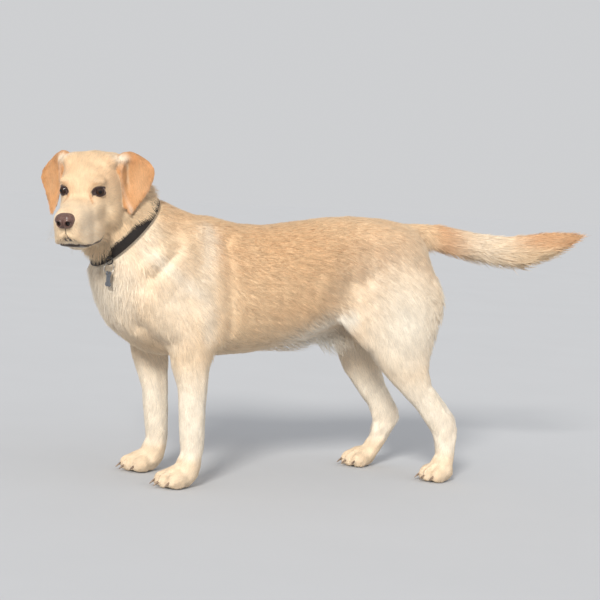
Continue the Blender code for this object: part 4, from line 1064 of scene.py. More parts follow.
def coat_piece(name, skin, coat, wanted, look, seed, long=False):
    """A piece of the coat on the wanted triangles. look gives density, length, width, spread and rise."""
    random = np.random.default_rng(seed)
    kind = LONG if long else SHORT
    density, length, width, spread, rise = look
    chosen = np.nonzero(wanted)[0]
    picked, parts = scattered(coat.areas[chosen], coat.mean(density)[chosen], random)
    places = unwrapped(skin, np.unique(coat.faces[chosen]))
    picked = chosen[picked]
    root = coat.on(coat.points, picked, parts)
    bare = coat.on(coat.bare, picked, parts)
    along, by_neck = collar_place(root)
    free = ~(by_neck & (np.abs(along) < COLLAR_CLEAR))
    free &= bare[:, 0] < 0.35
    free &= bare[:, 1] < 0.55 + 0.3 * random.random(len(root))
    picked, parts, root, along, by_neck = (kept[free] for kept in (picked, parts, root, along, by_neck))
    count = len(root)
    if count > kind["most"]:
        raise RuntimeError(f"{name} would have {count} tufts")
    normal = unit(coat.on(coat.normals, picked, parts))
    heading = coat.on(coat.lie, picked, parts)
    heading -= normal * np.sum(heading * normal, axis=1)[:, None]
    heading = unit(heading)
    turn = random.normal(size=count) + 1.2 * ripples(root, 0.045, SEED)
    turn = coat.on(spread, picked, parts) * turn
    heading = heading * np.cos(turn)[:, None] + np.cross(heading, normal) * np.sin(turn)[:, None]
    reach = coat.on(length, picked, parts) * random.uniform(0.7, 1.15, count)
    thick = coat.on(width, picked, parts) * random.uniform(0.75, 1.25, count)
    lift = 0.45 + 0.55 * random.random(count) + 0.22 * ripples(root, 0.03, seed + 2)
    lift = coat.on(coat.depth, picked, parts) * lift
    # Tufts by the collar end at its edge, but where the ruff may lie over it
    ahead = np.sum(heading * np.array(COLLAR_AXIS), axis=1)
    over = np.where(along > 0, ruff_overlap(root), 0.0) * long
    room = np.where(ahead * along < 0, np.abs(along) - COLLAR_CLEAR + over, np.inf)
    covers = step(over, 0.004, 0.01) * (1 - step(along, 0.034, 0.052)) * by_neck
    lift += (0.0092 + 0.0022 * random.random(count) - lift) * covers + coat.on(rise, picked, parts)
    limit = room / np.maximum(np.abs(ahead), 1e-3)
    reach = np.where(by_neck, np.clip(np.minimum(reach, limit), 0.004, None), reach)
    curl = reach * 0.05 * random.normal(size=count)
    points = grown(root, normal, heading, reach, thick, lift, curl, 0.72 + 0.26 * covers, long)
    if covers.any():
        hidden = covers > 0.3
        points[hidden, 3:] = over_collar(points[hidden, 3:], Strap())
    points[:, :, 2] = np.maximum(points[:, :, 2], HAIR_FLOOR)
    side = np.cross(heading, normal)
    facing = normal[:, None] + side[:, None] * np.array(kind["aside"])[None, :, None]
    facing = facing + heading[:, None] * np.array(kind["ahead"])[None, :, None]
    facing /= np.linalg.norm(facing, axis=2, keepdims=True)
    tone = 0.5 + 0.1 * random.normal(size=count) + 0.08 * ripples(root, 0.02, seed + 3)
    tint = np.column_stack([coat.on(coat.colour, picked, parts), tone])
    tint[:, :3] += 0.03 * random.normal(size=(count, 1))
    # Roots are a little paler than tips, most where the coat is golden
    tint = np.repeat(tint[:, None], points.shape[1], axis=1)
    tint[:, :, 3] -= np.array(kind["tip"]) * (0.04 + 0.2 * tint[:, :, 0] - 0.06 * tint[:, :, 1])
    tint = np.clip(tint, 0, 1)
    patch = np.sum(places[coat.loops[picked]] * parts[:, :, None], axis=1)
    patch = patch[:, None] + np.array(kind["patch"])[None] * PATCH
    return tuft_mesh(name, points, kind, tint, patch, facing)


def short_look(coat, sizes):
    """Density, length, width, spread and rise of the short tufts at each point of the skin."""
    r = coat.regions
    length = np.full(len(coat.points), sizes.body_length)
    width = np.full(len(coat.points), sizes.body_width)
    blend(length, 0.016, r.leg)
    blend(width, 0.0011, r.leg)
    blend(length, 0.0065, r.paw)
    blend(width, 0.0009, r.paw)
    blend(length, 0.022, r.tail)
    blend(length, 0.0095 - 0.005 * (1 - step(r.head[:, 1], -0.06, 0.01)), r.skull)
    blend(width, 0.00064, r.skull)
    blend(length, 0.0075, r.ear)
    blend(width, 0.001, r.ear)
    for _, away, _ in by_eye(r.head):
        close = 1 - step(away, 0.016, 0.03)
        blend(length, 0.0032, close, r.skull)
        blend(width, 0.00055, close, r.skull)
    above, live = lip_mask(r.head)
    length *= 1 - 0.5 * r.skull * live * step(above, -0.002, 0.0) * (1 - step(above, 0.006, 0.012))
    cover = sizes.cover * (1 - 0.1 * r.leg - 0.33 * r.skull * (1 - r.ear))
    density = cover / (0.5 * length * width)
    return density, length, width, np.full(len(length), 0.11), np.zeros(len(length))


BELLY_LINE = ((0, -0.06, 0.272), (0, 0.06, 0.29), (0, 0.2, 0.33))
TUCK_LINE = ((0.075, -0.017, 0.312), (0.093, 0.032, 0.348), (0.096, 0.089, 0.383))
RUFF_LINE = ((0.08, -0.33, 0.585), (0.1, -0.306, 0.53), (0.095, -0.345, 0.46))


def long_look(coat):
    """The same for the longer tufts of ruff, chest, breeches, belly and tail."""
    r = coat.regions
    y = r.body[:, 1]
    body = one_side(r.body)
    off = (1 - r.skull) * (1 - r.ear) * (1 - r.paw)
    under_tail = r.tail * step(-coat.normals[:, 2], -0.2, 0.6)
    fringe = near_path(body * (0.7, 1, 1), BELLY_LINE, 0.03) * step(y, -0.1, 0.04) * off
    tuck = near_path(body, TUCK_LINE, 0.018)
    crest = blob(r.body, (0.0, -0.36, 0.6), (0.05, 0.08, 0.05)) * off
    ruff = near_path(body, RUFF_LINE, 0.02) * off
    elbow = blob(body, (0.085, -0.165, 0.275), (0.03, 0.03, 0.05))
    amount = [1.0 * r.neck, 1.1 * r.chest, 1.5 * r.breech, 2.2 * fringe, 2.0 * tuck]
    amount += [0.6 * crest, 1.5 * ruff, 1.2 * under_tail, 0.9 * elbow]
    amount = np.maximum.reduce(amount)
    amount = amount * off * step(amount, 0.15, 0.4)
    length = 0.024 + 0.01 * under_tail + 0.024 * fringe + 0.014 * tuck + 0.01 * r.breech + 0.01 * ruff
    width = 0.0016 - 0.0004 * fringe - 0.00045 * np.maximum(r.neck, r.chest)
    # The band of denser, finer hair behind the collar that lies over it
    along, by_neck = collar_place(coat.points)
    band = step(along, 0.01, 0.014) * (1 - step(along, 0.034, 0.05)) * by_neck
    behind_face = np.maximum(1 - r.skull, step(r.head[:, 1], 0.0, 0.02))
    band *= step(ruff_overlap(coat.points), 0.004, 0.012) * behind_face
    band *= 1 - r.ear
    amount = np.maximum(amount, 5.0 * band)
    blend(width, 0.0009, band)
    length = length + 0.009 * band
    density = 0.85 * amount / (0.5 * length * width)
    rise = 0.026 * fringe + 0.005 * tuck + 0.004 * r.breech + 0.006 * under_tail
    rise = rise + 0.002 * r.chest + 0.003 * elbow
    return density, length, width, 0.17 + 0.16 * fringe, rise


def coat_parts(coat):
    """The coat's pieces: names and the triangles that each stands on."""
    r = coat.regions
    ear = coat.mean(r.ear) > 0.5
    skull = (coat.mean(r.skull) > 0.5) & ~ear
    tail = (coat.mean(r.tail) > 0.5) & ~skull & ~ear
    x, y, z = (coat.mean(values) for values in r.body.T)
    rest = ~(ear | skull | tail)
    low = rest & (z < 0.255)
    trunk = rest & ~low
    parts = {
        "coat_head": skull,
        "coat_ears": ear,
        "coat_tail": tail,
        "coat_forelegs": low & (y < -0.05),
        "coat_hindlegs": low & (y >= -0.05),
    }
    for name, start, end in (("shoulder", -1, -0.17), ("flank", -0.17, 0.1), ("thigh", 0.1, 1)):
        there = trunk & (y >= start) & (y < end)
        parts[f"coat_{name}_left"] = there & (x > 0)
        parts[f"coat_{name}_right"] = there & ~(x > 0)
    return parts


# -------------------- shader maths


class Socket:
    """A shader socket that takes part in Python expressions."""

    def __init__(self, tree, link):
        self.tree = tree
        self.link = link

    @staticmethod
    def plug(tree, slot, value):
        if isinstance(value, Socket):
            tree.links.new(value.link, slot)
        elif slot.type == "RGBA":
            slot.default_value = (*value, 1.0)
        else:
            slot.default_value = value

    def node(self, kind, settings=None, out=0, **inputs):
        """A node of a type, with its settings set before its sockets."""
        made = self.tree.nodes.new("ShaderNode" + kind)
        for name, value in (settings or {}).items():
            setattr(made, name, value)
        for name, value in inputs.items():
            slot = made.inputs[int(name[1:])] if name[1:].isdigit() else made.inputs[name.replace("_", " ")]
            Socket.plug(self.tree, slot, value)
        return Socket(self.tree, made.outputs[out])

    def place(self):
        """The object's own coordinates."""
        return self.node("TexCoord", out=3)

    def maths(self, operation, other):
        return self.node("Math", {"operation": operation}, i0=self, i1=other)

    def __add__(self, other):
        return self.maths("ADD", other)

    def __sub__(self, other):
        return self.maths("SUBTRACT", other)

    def __mul__(self, other):
        return self.maths("MULTIPLY", other)

    def __rsub__(self, other):
        return self.node("Math", {"operation": "SUBTRACT"}, i0=other, i1=self)

    __radd__ = __add__
    __rmul__ = __mul__

    def clamped(self):
        return self.node("Clamp", i0=self)

    def between(self, low, high):
        """0 at the low mark, 1 at the high one, smooth between."""
        return self.node("MapRange", {"interpolation_type": "SMOOTHSTEP"}, i0=self, i1=low, i2=high)

    def mix(self, a, b):
        """Colour a where this is 0, b where it is 1."""
        return self.node("Mix", {"data_type": "RGBA"}, out=2, i0=self, i6=a, i7=b)

    def scaled(self, factors):
        return self.node("VectorMath", {"operation": "MULTIPLY"}, i0=self, i1=factors)

    def dimmed(self, share):
        return self.node("VectorMath", {"operation": "SCALE"}, i0=self, Scale=share)

    def channels(self):
        """The red, green and blue of a colour."""
        red = self.node("SeparateColor", i0=self)
        return [Socket(self.tree, out) for out in red.link.node.outputs]


def wire(material, **values):
    """Sets or links the inputs of the material's Principled shader."""
    shader = material.node_tree.nodes["Principled BSDF"]
    for key, value in values.items():
        Socket.plug(material.node_tree, shader.inputs[key.replace("_", " ")], value)
    return material


def new_material(name, **constants):
    """A material with some of its inputs set, and a socket on its tree."""
    material = bpy.data.materials.new(name)
    material.use_nodes = True
    wire(material, **constants)
    return material, Socket(material.node_tree, None)


def noise(tree, place, scale, detail=3.0, roughness=0.55):
    return tree.node("TexNoise", {}, i0=place, Scale=scale, Detail=detail, Roughness=roughness)


def bump(tree, height, strength, distance):
    return tree.node("Bump", Height=height, Strength=strength, Distance=distance)


def coat_colour(tree, colours):
    """The coat's colour from its attribute: golden, pale and orange over cream, with a tone for each tuft."""
    place = tree.place()
    gold, pale, tan = tree.node("Attribute", {"attribute_name": "coat"}).channels()
    tone = tree.node("Attribute", {"attribute_name": "coat"}, out=3)
    cloud = noise(tree, place, 22.0)
    colour = (gold + (cloud - 0.5) * 0.16).clamped().mix(colours.cream, colours.gold)
    colour = (tan + (cloud - 0.5) * 0.2).clamped().mix(colour, colours.tan)
    colour = pale.clamped().mix(colour, colours.pale)
    return place, colour.dimmed((tone - 0.5) * 0.8 + 1.02)


def tuft_material(colours):
    material, tree = new_material(
        "coat_hair", Roughness=0.52, Specular_IOR_Level=0.3, Sheen_Weight=0.12, Sheen_Roughness=0.5
    )
    _, colour = coat_colour(tree, colours)
    return wire(material, Base_Color=colour)


def skin_material(colours):
    """Under the tufts: the same colours in streaks of hair, a little deeper between them as painted shade,
    dark rims, pink where hair is thin.
    """
    material, tree = new_material("skin", Specular_IOR_Level=0.35, Sheen_Weight=0.1)
    place, colour = coat_colour(tree, colours)
    dark, pink, leg = tree.node("Attribute", {"attribute_name": "bare"}).channels()
    back = noise(tree, place.scaled((1.0, 0.1, 1.0)), 1400.0, 2.0)
    down = noise(tree, place.scaled((1.0, 1.0, 0.12)), 1400.0, 2.0)
    streak = back + (down - back) * leg
    # Streaks of hair, with painted shade between the strands
    colour = streak.between(0.35, 0.7).mix(colour.dimmed(0.8), colour.dimmed(1.04))
    mottle = noise(tree, place, 300.0, 4.0)
    flesh = mottle.mix(colours.flesh, (0.62, 0.42, 0.34))
    colour = pink.clamped().mix(colour, flesh)
    rim = mottle.between(0.3, 0.7).mix(colours.rim, (0.06, 0.032, 0.026))
    colour = dark.clamped().mix(colour, rim)
    gloss = 0.62 - dark * 0.27
    grain = bump(tree, streak * (1.0 - dark * 0.8) + mottle * dark * 0.5, 0.5, 0.0006)
    return wire(material, Base_Color=colour, Roughness=gloss, Normal=grain)


# -------------------- eyes, nose, claws, whiskers


def primitive(adder, name, **settings):
    """A new mesh from one of Blender's adders, with nothing else selected."""
    deselect()
    adder(**settings)
    return named(bpy.context.object, name)


CORNEA = math.radians(46)  # half the angle that the clear front of the eye takes


def eyeball(name, side):
    """A ball with the bulge of the cornea, and a map on which the pupil is the middle."""
    radius = EYE_RADIUS - 0.00025
    ball = primitive(bpy.ops.mesh.primitive_uv_sphere_add, name, segments=64, ring_count=40, radius=radius)
    points = points_of(ball.data)
    polar = np.arccos(np.clip(points[:, 2] / radius, -1, 1))
    bulge = 0.0011 * step(CORNEA - polar, 0.0, CORNEA * 0.8)
    points = unit(points) * (radius + bulge)[:, None]
    layer = ball.data.uv_layers.active
    layer.name = "Gaze"
    corners = read(ball.data.loops, "vertex_index")
    around = np.arctan2(points[:, 1], points[:, 0])
    reach = polar / math.pi * 0.48
    flat = np.stack([0.5 + reach * np.cos(around), 0.5 + reach * np.sin(around)], axis=1)
    layer.data.foreach_set("uv", flat[corners].astype(np.float32).ravel())
    put_points(ball.data, out_of(HEAD @ eye_frame(side), points))
    ball.data.shade_smooth()
    return ball


def eye_material(settings):
    """A dark pupil, brown fibres round it, a darker edge and a little white in the corners, all wet."""
    material, tree = new_material(
        "wet_eye", Roughness=0.55, Specular_IOR_Level=0.15, Coat_Weight=0.4, Coat_Roughness=0.03
    )
    place = tree.node("UVMap", {"uv_map": "Gaze"})
    offset = place.node("VectorMath", {"operation": "SUBTRACT"}, i0=place, i1=(0.5, 0.5, 0.0))
    reach = offset.node("VectorMath", {"operation": "LENGTH"}, out=1, i0=offset)
    heading = offset.node("VectorMath", {"operation": "NORMALIZE"}, i0=offset)
    polar = reach * (math.pi / 0.48)
    fibre = noise(tree, heading, 9.0, 4.0, 0.7)
    ring = noise(tree, offset, 60.0, 3.0)
    brown = (fibre * 0.7 + ring * 0.3).mix(settings.iris, (0.016, 0.007, 0.004))
    pupil = 1.0 - polar.between(0.26, 0.3)
    colour = pupil.mix(brown, (0.001, 0.001, 0.001))
    edge = polar.between(0.6, 0.78)
    colour = edge.mix(colour, (0.01, 0.006, 0.005))
    white = polar.between(0.84, 0.98)
    veins = noise(tree, offset, 34.0, 5.0, 0.75)
    ball = veins.between(0.42, 0.66).mix((0.3, 0.22, 0.19), (0.16, 0.07, 0.055))
    return wire(material, Base_Color=white.mix(colour, ball))


NOSE_MIDDLE = np.array((0.0, -0.1025, -0.0362))
NOSE_HALF = np.array((0.0196, 0.015, 0.0152))
NOSTRIL_PATH = ((0.0082, -0.0385), (0.0112, -0.0352), (0.015, -0.0372), (0.0176, -0.0415))


def nose_points(points):
    """The nose leather, from a ball: flat in front, wide above, with nostrils and the groove between."""
    ball = unit(points)
    x, y, z = ball.T
    swell = (np.abs(x) ** 2.7 + np.abs(y) ** 2.5 + np.abs(z) ** 2.7) ** (-1 / 2.6)
    shape = ball * swell[:, None]
    width = 0.86 + 0.14 * step(shape[:, 2], -0.9, 0.5)
    shape[:, 0] *= width
    placed = NOSE_MIDDLE + shape * NOSE_HALF
    front = step(-ball[:, 1], 0.1, 0.6)
    px, _, pz = placed.T
    flat = np.column_stack((np.abs(px), pz))
    slit, along = to_path(flat, NOSTRIL_PATH)
    round_hole = np.hypot(np.abs(px) - 0.009, (pz + 0.0392) * 0.9)
    pit = 0.0066 * (1 - step(round_hole, 0.0026, 0.005))
    pit = np.maximum(pit, 0.003 * (1 - step(slit, 0.0005, 0.002)) * (1 - 0.5 * along))
    rim = 0.001 * bell(round_hole - 0.0062, 0.0014)
    groove = 0.0013 * bell(px, 0.0009) * (1 - step(pz, -0.036, -0.028))
    crown = 0.0006 * bell(px, 0.006) * step(pz, -0.036, -0.026)
    placed[:, 1] += (pit - rim + groove + crown) * front
    wing = np.exp(-(((np.abs(px) - 0.0178) / 0.003) ** 2) - ((pz + 0.0345) / 0.004) ** 2)
    placed[:, 0] += np.sign(px) * 0.0008 * wing
    # How deep each point lies in a nostril's pit, which the nose's material turns into painted shade
    hollow = np.clip(pit / 0.005, 0, 1) * front
    return placed, hollow


def nose_piece():
    nose = primitive(bpy.ops.mesh.primitive_cube_add, "nose_leather", size=2)
    edit_all(bpy.ops.mesh.subdivide, number_cuts=51)
    points, hollow = nose_points(np.tan(points_of(nose.data) * (math.pi / 4)))
    put_points(nose.data, out_of(HEAD, points))
    tint = nose.data.attributes.new("hollow", "FLOAT", "POINT")
    tint.data.foreach_set("value", hollow.astype(np.float32))
    nose.data.shade_smooth()
    return nose


def nose_material(settings):
    """Damp pebbled leather, brown turning pink, with painted shade in the cracks between the pebbles and deep
    in the nostrils.
    """
    material, tree = new_material(
        "nose_leather", Coat_Weight=0.45, Coat_Roughness=0.22, Specular_IOR_Level=0.5
    )
    place = tree.place()
    hollow = tree.node("Attribute", {"attribute_name": "hollow"}, out=2)
    cells = tree.node("TexVoronoi", {"feature": "DISTANCE_TO_EDGE"}, i0=place, Scale=850.0)
    pebble = cells.between(0.0, 0.22)
    cloud = noise(tree, place, 120.0, 4.0)
    colour = cloud.between(0.35, 0.65).mix(settings.nose, settings.nose_pink)
    # Painted shade in the cracks between the pebbles
    colour = pebble.mix((0.055, 0.026, 0.021), colour)
    # Painted shade deep in the nostrils
    colour = hollow.between(0.15, 0.75).mix(colour, (0.01, 0.006, 0.005))
    height = bump(tree, pebble * (1.0 - hollow) + cloud * 0.3, 0.55, 0.0004)
    return wire(material, Base_Color=colour, Roughness=0.36 + (1.0 - pebble) * 0.25, Normal=height)


def claws_piece(nodes):
    claws = copy_of(nodes, "claws")
    modify(claws, "DISPLACE", strength=0.0004, mid_level=0)
    modify(claws, "SUBSURF", levels=2, render_levels=2)
    apply_all(claws)
    claws.data.shade_smooth()
    return claws


def horn_material(settings):
    """Pale brown horn with fine lengthwise streaks, some lighter, and darker patches."""
    material, tree = new_material("claw_horn", Specular_IOR_Level=0.5, Coat_Weight=0.15, Coat_Roughness=0.3)
    place = tree.place()
    streak = noise(tree, place.scaled((1.0, 0.15, 0.4)), 1500.0, 3.0)
    cloud = noise(tree, place, 180.0)
    colour = streak.between(0.35, 0.65).mix(settings.horn, (0.4, 0.29, 0.2))
    colour = cloud.between(0.4, 0.7).mix(colour, (0.1, 0.06, 0.04))
    height = bump(tree, streak, 0.3, 0.0003)
    return wire(material, Base_Color=colour, Roughness=0.34 + streak * 0.2, Normal=height)


def ring_faces(count, sides, closed=False):
    """Faces between rings of points, with a cap at each end unless the last ring meets the first."""
    faces = []
    for i in range(count if closed else count - 1):
        j = (i + 1) % count
        for k in range(sides):
            m = (k + 1) % sides
            faces.append((i * sides + k, i * sides + m, j * sides + m, j * sides + k))
    if not closed:
        faces.append(tuple(range(sides))[::-1])
        faces.append(tuple((count - 1) * sides + k for k in range(sides)))
    return faces


def fibre(path, radius, sides=3):
    """Points and faces of a hair along a path, tapering to its tip."""
    path = np.asarray(path)
    run = unit(np.gradient(path, axis=0))
    up = unit(np.cross(run, np.array((0.3, 0.5, 0.81))))
    side = np.cross(run, up)
    taper = radius * np.sqrt(np.linspace(1.0, 0.02, len(path)))
    rows = []
    for k in range(sides):
        angle = 2 * math.pi * k / sides
        rows.append(path + (up * math.cos(angle) + side * math.sin(angle)) * taper[:, None])
    return np.stack(rows, axis=1).reshape(-1, 3), ring_faces(len(path), sides)


def fibres_mesh(name, strands):
    points = []
    faces = []
    for strand_points, strand_faces in strands:
        start = sum(len(part) for part in points)
        points.append(strand_points)
        faces += [tuple(start + k for k in face) for face in strand_faces]
    mesh = bpy.data.meshes.new(name)
    mesh.from_pydata(np.concatenate(points).tolist(), [], faces)
    mesh.validate()
    mesh.shade_smooth()
    return linked(name, mesh)


WHISKER_RADIUS = 0.00014


def whiskers_piece(skin):
    """Whiskers from the muzzle's rows, over the eyes and under the chin."""
    random = np.random.default_rng(SEED + 40)
    tree = tree_of(skin.data)
    starts = [(place, (0.8, 0.42, -0.3), 0.03) for place in whisker_roots()]
    starts += [((0.024 + 0.004 * k, -0.012, 0.018), (0.35, -0.1, 0.8), 0.02) for k in range(3)]
    starts += [((0.01, -0.085 + 0.012 * k, -0.114), (0.3, 0.1, -0.9), 0.016) for k in range(3)]
    strands = []
    for side in (1, -1):
        for place, heading, length in starts:
            root = tree.find_nearest(HEAD @ Vector((side * place[0], *place[1:])))[0]
            heading = Vector((side * heading[0], *heading[1:])) + Vector(random.normal(0, 0.12, 3))
            heading = (HEAD.to_3x3() @ heading).normalized()
            length *= random.uniform(0.75, 1.25)
            share = np.linspace(0, 1, 7)[:, None]
            path = np.array(root) + share * length * np.array(heading)
            path[:, 2] -= share[:, 0] ** 2 * length * 0.28
            strands.append(fibre(path, WHISKER_RADIUS))
    return fibres_mesh("whiskers", strands)


def whisker_material():
    material, tree = new_material("whisker", Specular_IOR_Level=0.5)
    cloud = noise(tree, tree.place(), 240.0)
    colour = cloud.mix((0.62, 0.52, 0.4), (0.8, 0.74, 0.64))
    return wire(material, Base_Color=colour, Roughness=0.35 + cloud * 0.2)


# -------------------- collar and tag


def collar_axes():
    axis = np.array(COLLAR_AXIS)
    front = np.array((0.0, -1.0, 0.0))
    front -= axis * (front @ axis)
    front /= np.linalg.norm(front)
    left = np.cross(front, axis)
    if left[0] < 0:
        left = -left
    return np.array(BODY @ COLLAR_PLACE), axis, front, left


class Strap:
    """The collar's inner face, read off its solid: how far out it lies at any turn and width."""

    def __init__(self):
        place, axis, front, left = collar_axes()
        points = np.unique(np.round(points_of(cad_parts["collar_band"].data), 6), axis=0) - place
        along = points @ axis
        turn = np.arctan2(points @ left, points @ front)
        out = np.hypot(points @ left, points @ front)
        self.sides = len(points) // 4
        slots = np.round(turn / (2 * math.pi) * self.sides).astype(int) % self.sides
        self.edges = []
        for chosen in (along < 0, along > 0):
            radii = np.full(self.sides, np.inf)
            np.minimum.at(radii, slots[chosen], out[chosen])
            self.edges.append(radii)
        self.frame = (place, axis, front, left)

    def middle(self, turn, height):
        """A place on the strap's middle line, at a height over its inner face."""
        return Vector(self.place(np.array(turn), np.array(0.0), np.array(height)))

    def inner(self, turn):
        """The inner face's distance out at its low and high edges, on smooth curves."""
        found = []
        for radii in self.edges:
            terms = np.fft.rfft(radii)
            orders = np.arange(len(terms))
            scale = np.where(orders == 0, 1.0, 2.0) / self.sides
            waves = np.exp(1j * np.multiply.outer(turn, orders)) * terms * scale
            found.append(waves.real[..., :STRAP_WAVES].sum(axis=-1))
        return found

    def place(self, turn, across, height):
        """World places on the strap: turn round the neck, across it, and height over its inner face."""
        middle_place, axis, front, left = self.frame
        low, high = self.inner(turn)
        share = across / COLLAR_WIDTH + 0.5
        out = low + (high - low) * share + height
        outward = np.multiply.outer(np.cos(turn), front) + np.multiply.outer(np.sin(turn), left)
        return middle_place + np.multiply.outer(across, axis) + outward * out[..., None]


def strap_section(width, low, high, stitched):
    """The strap's outline, across and up: soft edges, and two shallow grooves for its stitching."""
    half = width / 2
    edge = (high - low) / 2
    soft = edge * 0.6
    flat = width - edge * 1.2
    corners = []

    def arc(middle, start):
        for k in range(1, 6):
            angle = start - math.pi * k / 6
            corners.append((middle + soft * math.cos(angle), (low + high) / 2 + edge * math.sin(angle)))

    for k in range(13):
        across = -half + soft + flat * k / 12
        groove = 0.00035 * math.exp(-(((abs(across) - half + STITCH_IN) / 0.0007) ** 2)) * stitched
        crown = 0.0002 * (1 - (across / half) ** 2)
        corners.append((across, high - groove + crown - 0.0002))
    arc(half - soft, math.pi / 2)
    corners += [(half - soft - flat * k / 4, low) for k in range(5)]
    arc(-half + soft, -math.pi / 2)
    return np.array(corners)


def swept_strap(name, strap, start, end, section, closed, narrow=None):
    """The section carried round the collar between two turns. narrow gives its width along the way."""
    count = max(8, int(abs(end - start) * STRAP_STEPS))
    turns = np.linspace(start, end, count, endpoint=not closed)
    share = np.ones(count) if narrow is None else narrow(np.linspace(0, 1, count))
    rows = [
        strap.place(np.full(len(section), turn), section[:, 0] * scale, section[:, 1])
        for turn, scale in zip(turns, share)
    ]
    size = len(section)
    faces = []
    for i in range(count if closed else count - 1):
        j = (i + 1) % count
        for k in range(size):
            m = (k + 1) % size
            faces.append((i * size + k, j * size + k, j * size + m, i * size + m))
    if not closed:
        faces.append(tuple(range(size)))
        faces.append(tuple((count - 1) * size + k for k in range(size))[::-1])
    return solid_from(name, np.concatenate(rows), faces)


STRAP_WAVES = 11  # how many waves round the neck its inner face is drawn with
STRAP_STEPS = 40  # rows of points in each radian
BUCKLE_AT = math.radians(-62)
STRAP_LOW = 0.0004  # the band's inner side, over the neck's face
TONGUE_LOW = COLLAR_THICK + 0.0002
TONGUE_THICK = 0.0026
HOLE_RADIUS = 0.0017
STITCH_IN = 0.0024  # from the band's edge to its row of stitches
STITCH_LENGTH = 0.0032
STITCH_PITCH = 0.0045
TONGUE_REACH = math.radians(72)


def rounded_end(share):
    """The tongue's width along the way, which closes in a round over its last part."""
    return np.sqrt(np.clip(1 - np.clip((share - 0.93) / 0.07, 0, 1) ** 2, 0.04, 1))


def strap_piece(strap):
    """The band, the end that passes through the buckle, and the loop that keeps it down."""
    section = strap_section(COLLAR_WIDTH, STRAP_LOW, COLLAR_THICK, True)
    band = swept_strap("collar_strap", strap, 0, 2 * math.pi, section, True)
    section = strap_section(COLLAR_WIDTH * 0.94, TONGUE_LOW, TONGUE_LOW + TONGUE_THICK, True)
    start = BUCKLE_AT + math.radians(6)
    tongue = swept_strap("tongue", strap, start, BUCKLE_AT - TONGUE_REACH, section, False, rounded_end)
    adder = bpy.ops.mesh.primitive_cylinder_add
    for k in range(5):
        turn = BUCKLE_AT - math.radians(14 + 10.5 * k)
        hole = primitive(adder, "hole", vertices=20, radius=HOLE_RADIUS, depth=0.012)
        centre = strap.middle(turn, TONGUE_LOW + 0.004)
        out = (centre - strap.middle(turn, 0.0)).to_track_quat("Z", "Y").to_matrix().to_4x4()
        hole.data.transform(Matrix.Translation(centre) @ out)
        modify(tongue, "BOOLEAN", object=hole, operation="DIFFERENCE", solver="EXACT")
        apply_all(tongue)
        bpy.data.objects.remove(hole)
    section = strap_section(COLLAR_WIDTH + 0.0022, 0.003, TONGUE_LOW + 0.0042, False)
    start = BUCKLE_AT - math.radians(23)
    keeper = swept_strap("keeper", strap, start, start - math.radians(7), section, False)
    made = join([band, tongue, keeper], "collar_strap")
    made.data.shade_smooth()
    return smooth_but_edges(made, 38)


def stitch_piece(strap):
    """Waxed thread in two rows round the band."""
    strands = []
    around = 2 * math.pi
    reach = float(np.mean(strap.edges)) * around
    count = int(reach / STITCH_PITCH)
    height = COLLAR_THICK - 0.0002 + 0.00035 * np.sin(np.linspace(0, math.pi, 4))
    for across in (-1, 1):
        for k in range(count):
            turn = around * k / count + np.linspace(0, STITCH_LENGTH / reach * around, 4)
            path = strap.place(turn, np.full(4, across * (COLLAR_WIDTH / 2 - STITCH_IN)), height)
            strands.append(fibre(path, 0.0003, 5))
    return fibres_mesh("collar_stitches", strands)


def rounded_frame(length, width, wire_radius, corner):
    """A closed wire bent to an oblong with round corners, lying flat: points and faces."""
    path = []
    for k, (sx, sy) in enumerate(((1, 1), (-1, 1), (-1, -1), (1, -1))):
        centre = np.array((sx * (length / 2 - corner), sy * (width / 2 - corner), 0.0))
        for i in range(9):
            angle = math.radians(90 * k + 90 * i / 8)
            path.append(centre + corner * np.array((math.cos(angle), math.sin(angle), 0.0)))
    return tube(np.array(path), wire_radius, closed=True)


def tube(path, radius, sides=12, closed=False):
    """Points and faces of a round wire along a path."""
    ahead = np.roll(path, -1, axis=0) - np.roll(path, 1, axis=0)
    if not closed:
        ahead[0] = path[1] - path[0]
        ahead[-1] = path[-1] - path[-2]
    ahead = unit(ahead)
    up = np.tile((0.0, 0.0, 1.0), (len(path), 1))
    up -= ahead * np.sum(up * ahead, axis=1)[:, None]
    up = unit(up)
    side = np.cross(ahead, up)
    turn = np.arange(sides) * 2 * math.pi / sides
    points = path[:, None] + radius * (
        up[:, None] * np.cos(turn)[None, :, None] + side[:, None] * np.sin(turn)[None, :, None]
    )
    return points.reshape(-1, 3), ring_faces(len(path), sides, closed)


def solid_from(name, points, faces, matrix=Matrix.Identity(4)):
    """A closed mesh with its faces turned outwards."""
    mesh = bpy.data.meshes.new(name)
    mesh.from_pydata(np.asarray(points).tolist(), [], faces)
    mesh.transform(matrix)
    shape = bmesh.new()
    shape.from_mesh(mesh)
    bmesh.ops.recalc_face_normals(shape, faces=shape.faces)
    shape.to_mesh(mesh)
    shape.free()
    mesh.shade_smooth()
    return linked(name, mesh)


def strap_seat(strap, turn, height):
    """A frame on the strap: X along it, Y across it, Z out."""
    here = strap.middle(turn, height)
    ahead = strap.middle(turn + 0.02, height)
    axis = Vector(strap.frame[1])
    along = (ahead - here).normalized()
    out = along.cross(axis).normalized()
    if out.dot(here - Vector(strap.frame[0])) < 0:
        out = -out
    return Matrix.Translation(here) @ Matrix((along, out.cross(along), out)).transposed().to_4x4()


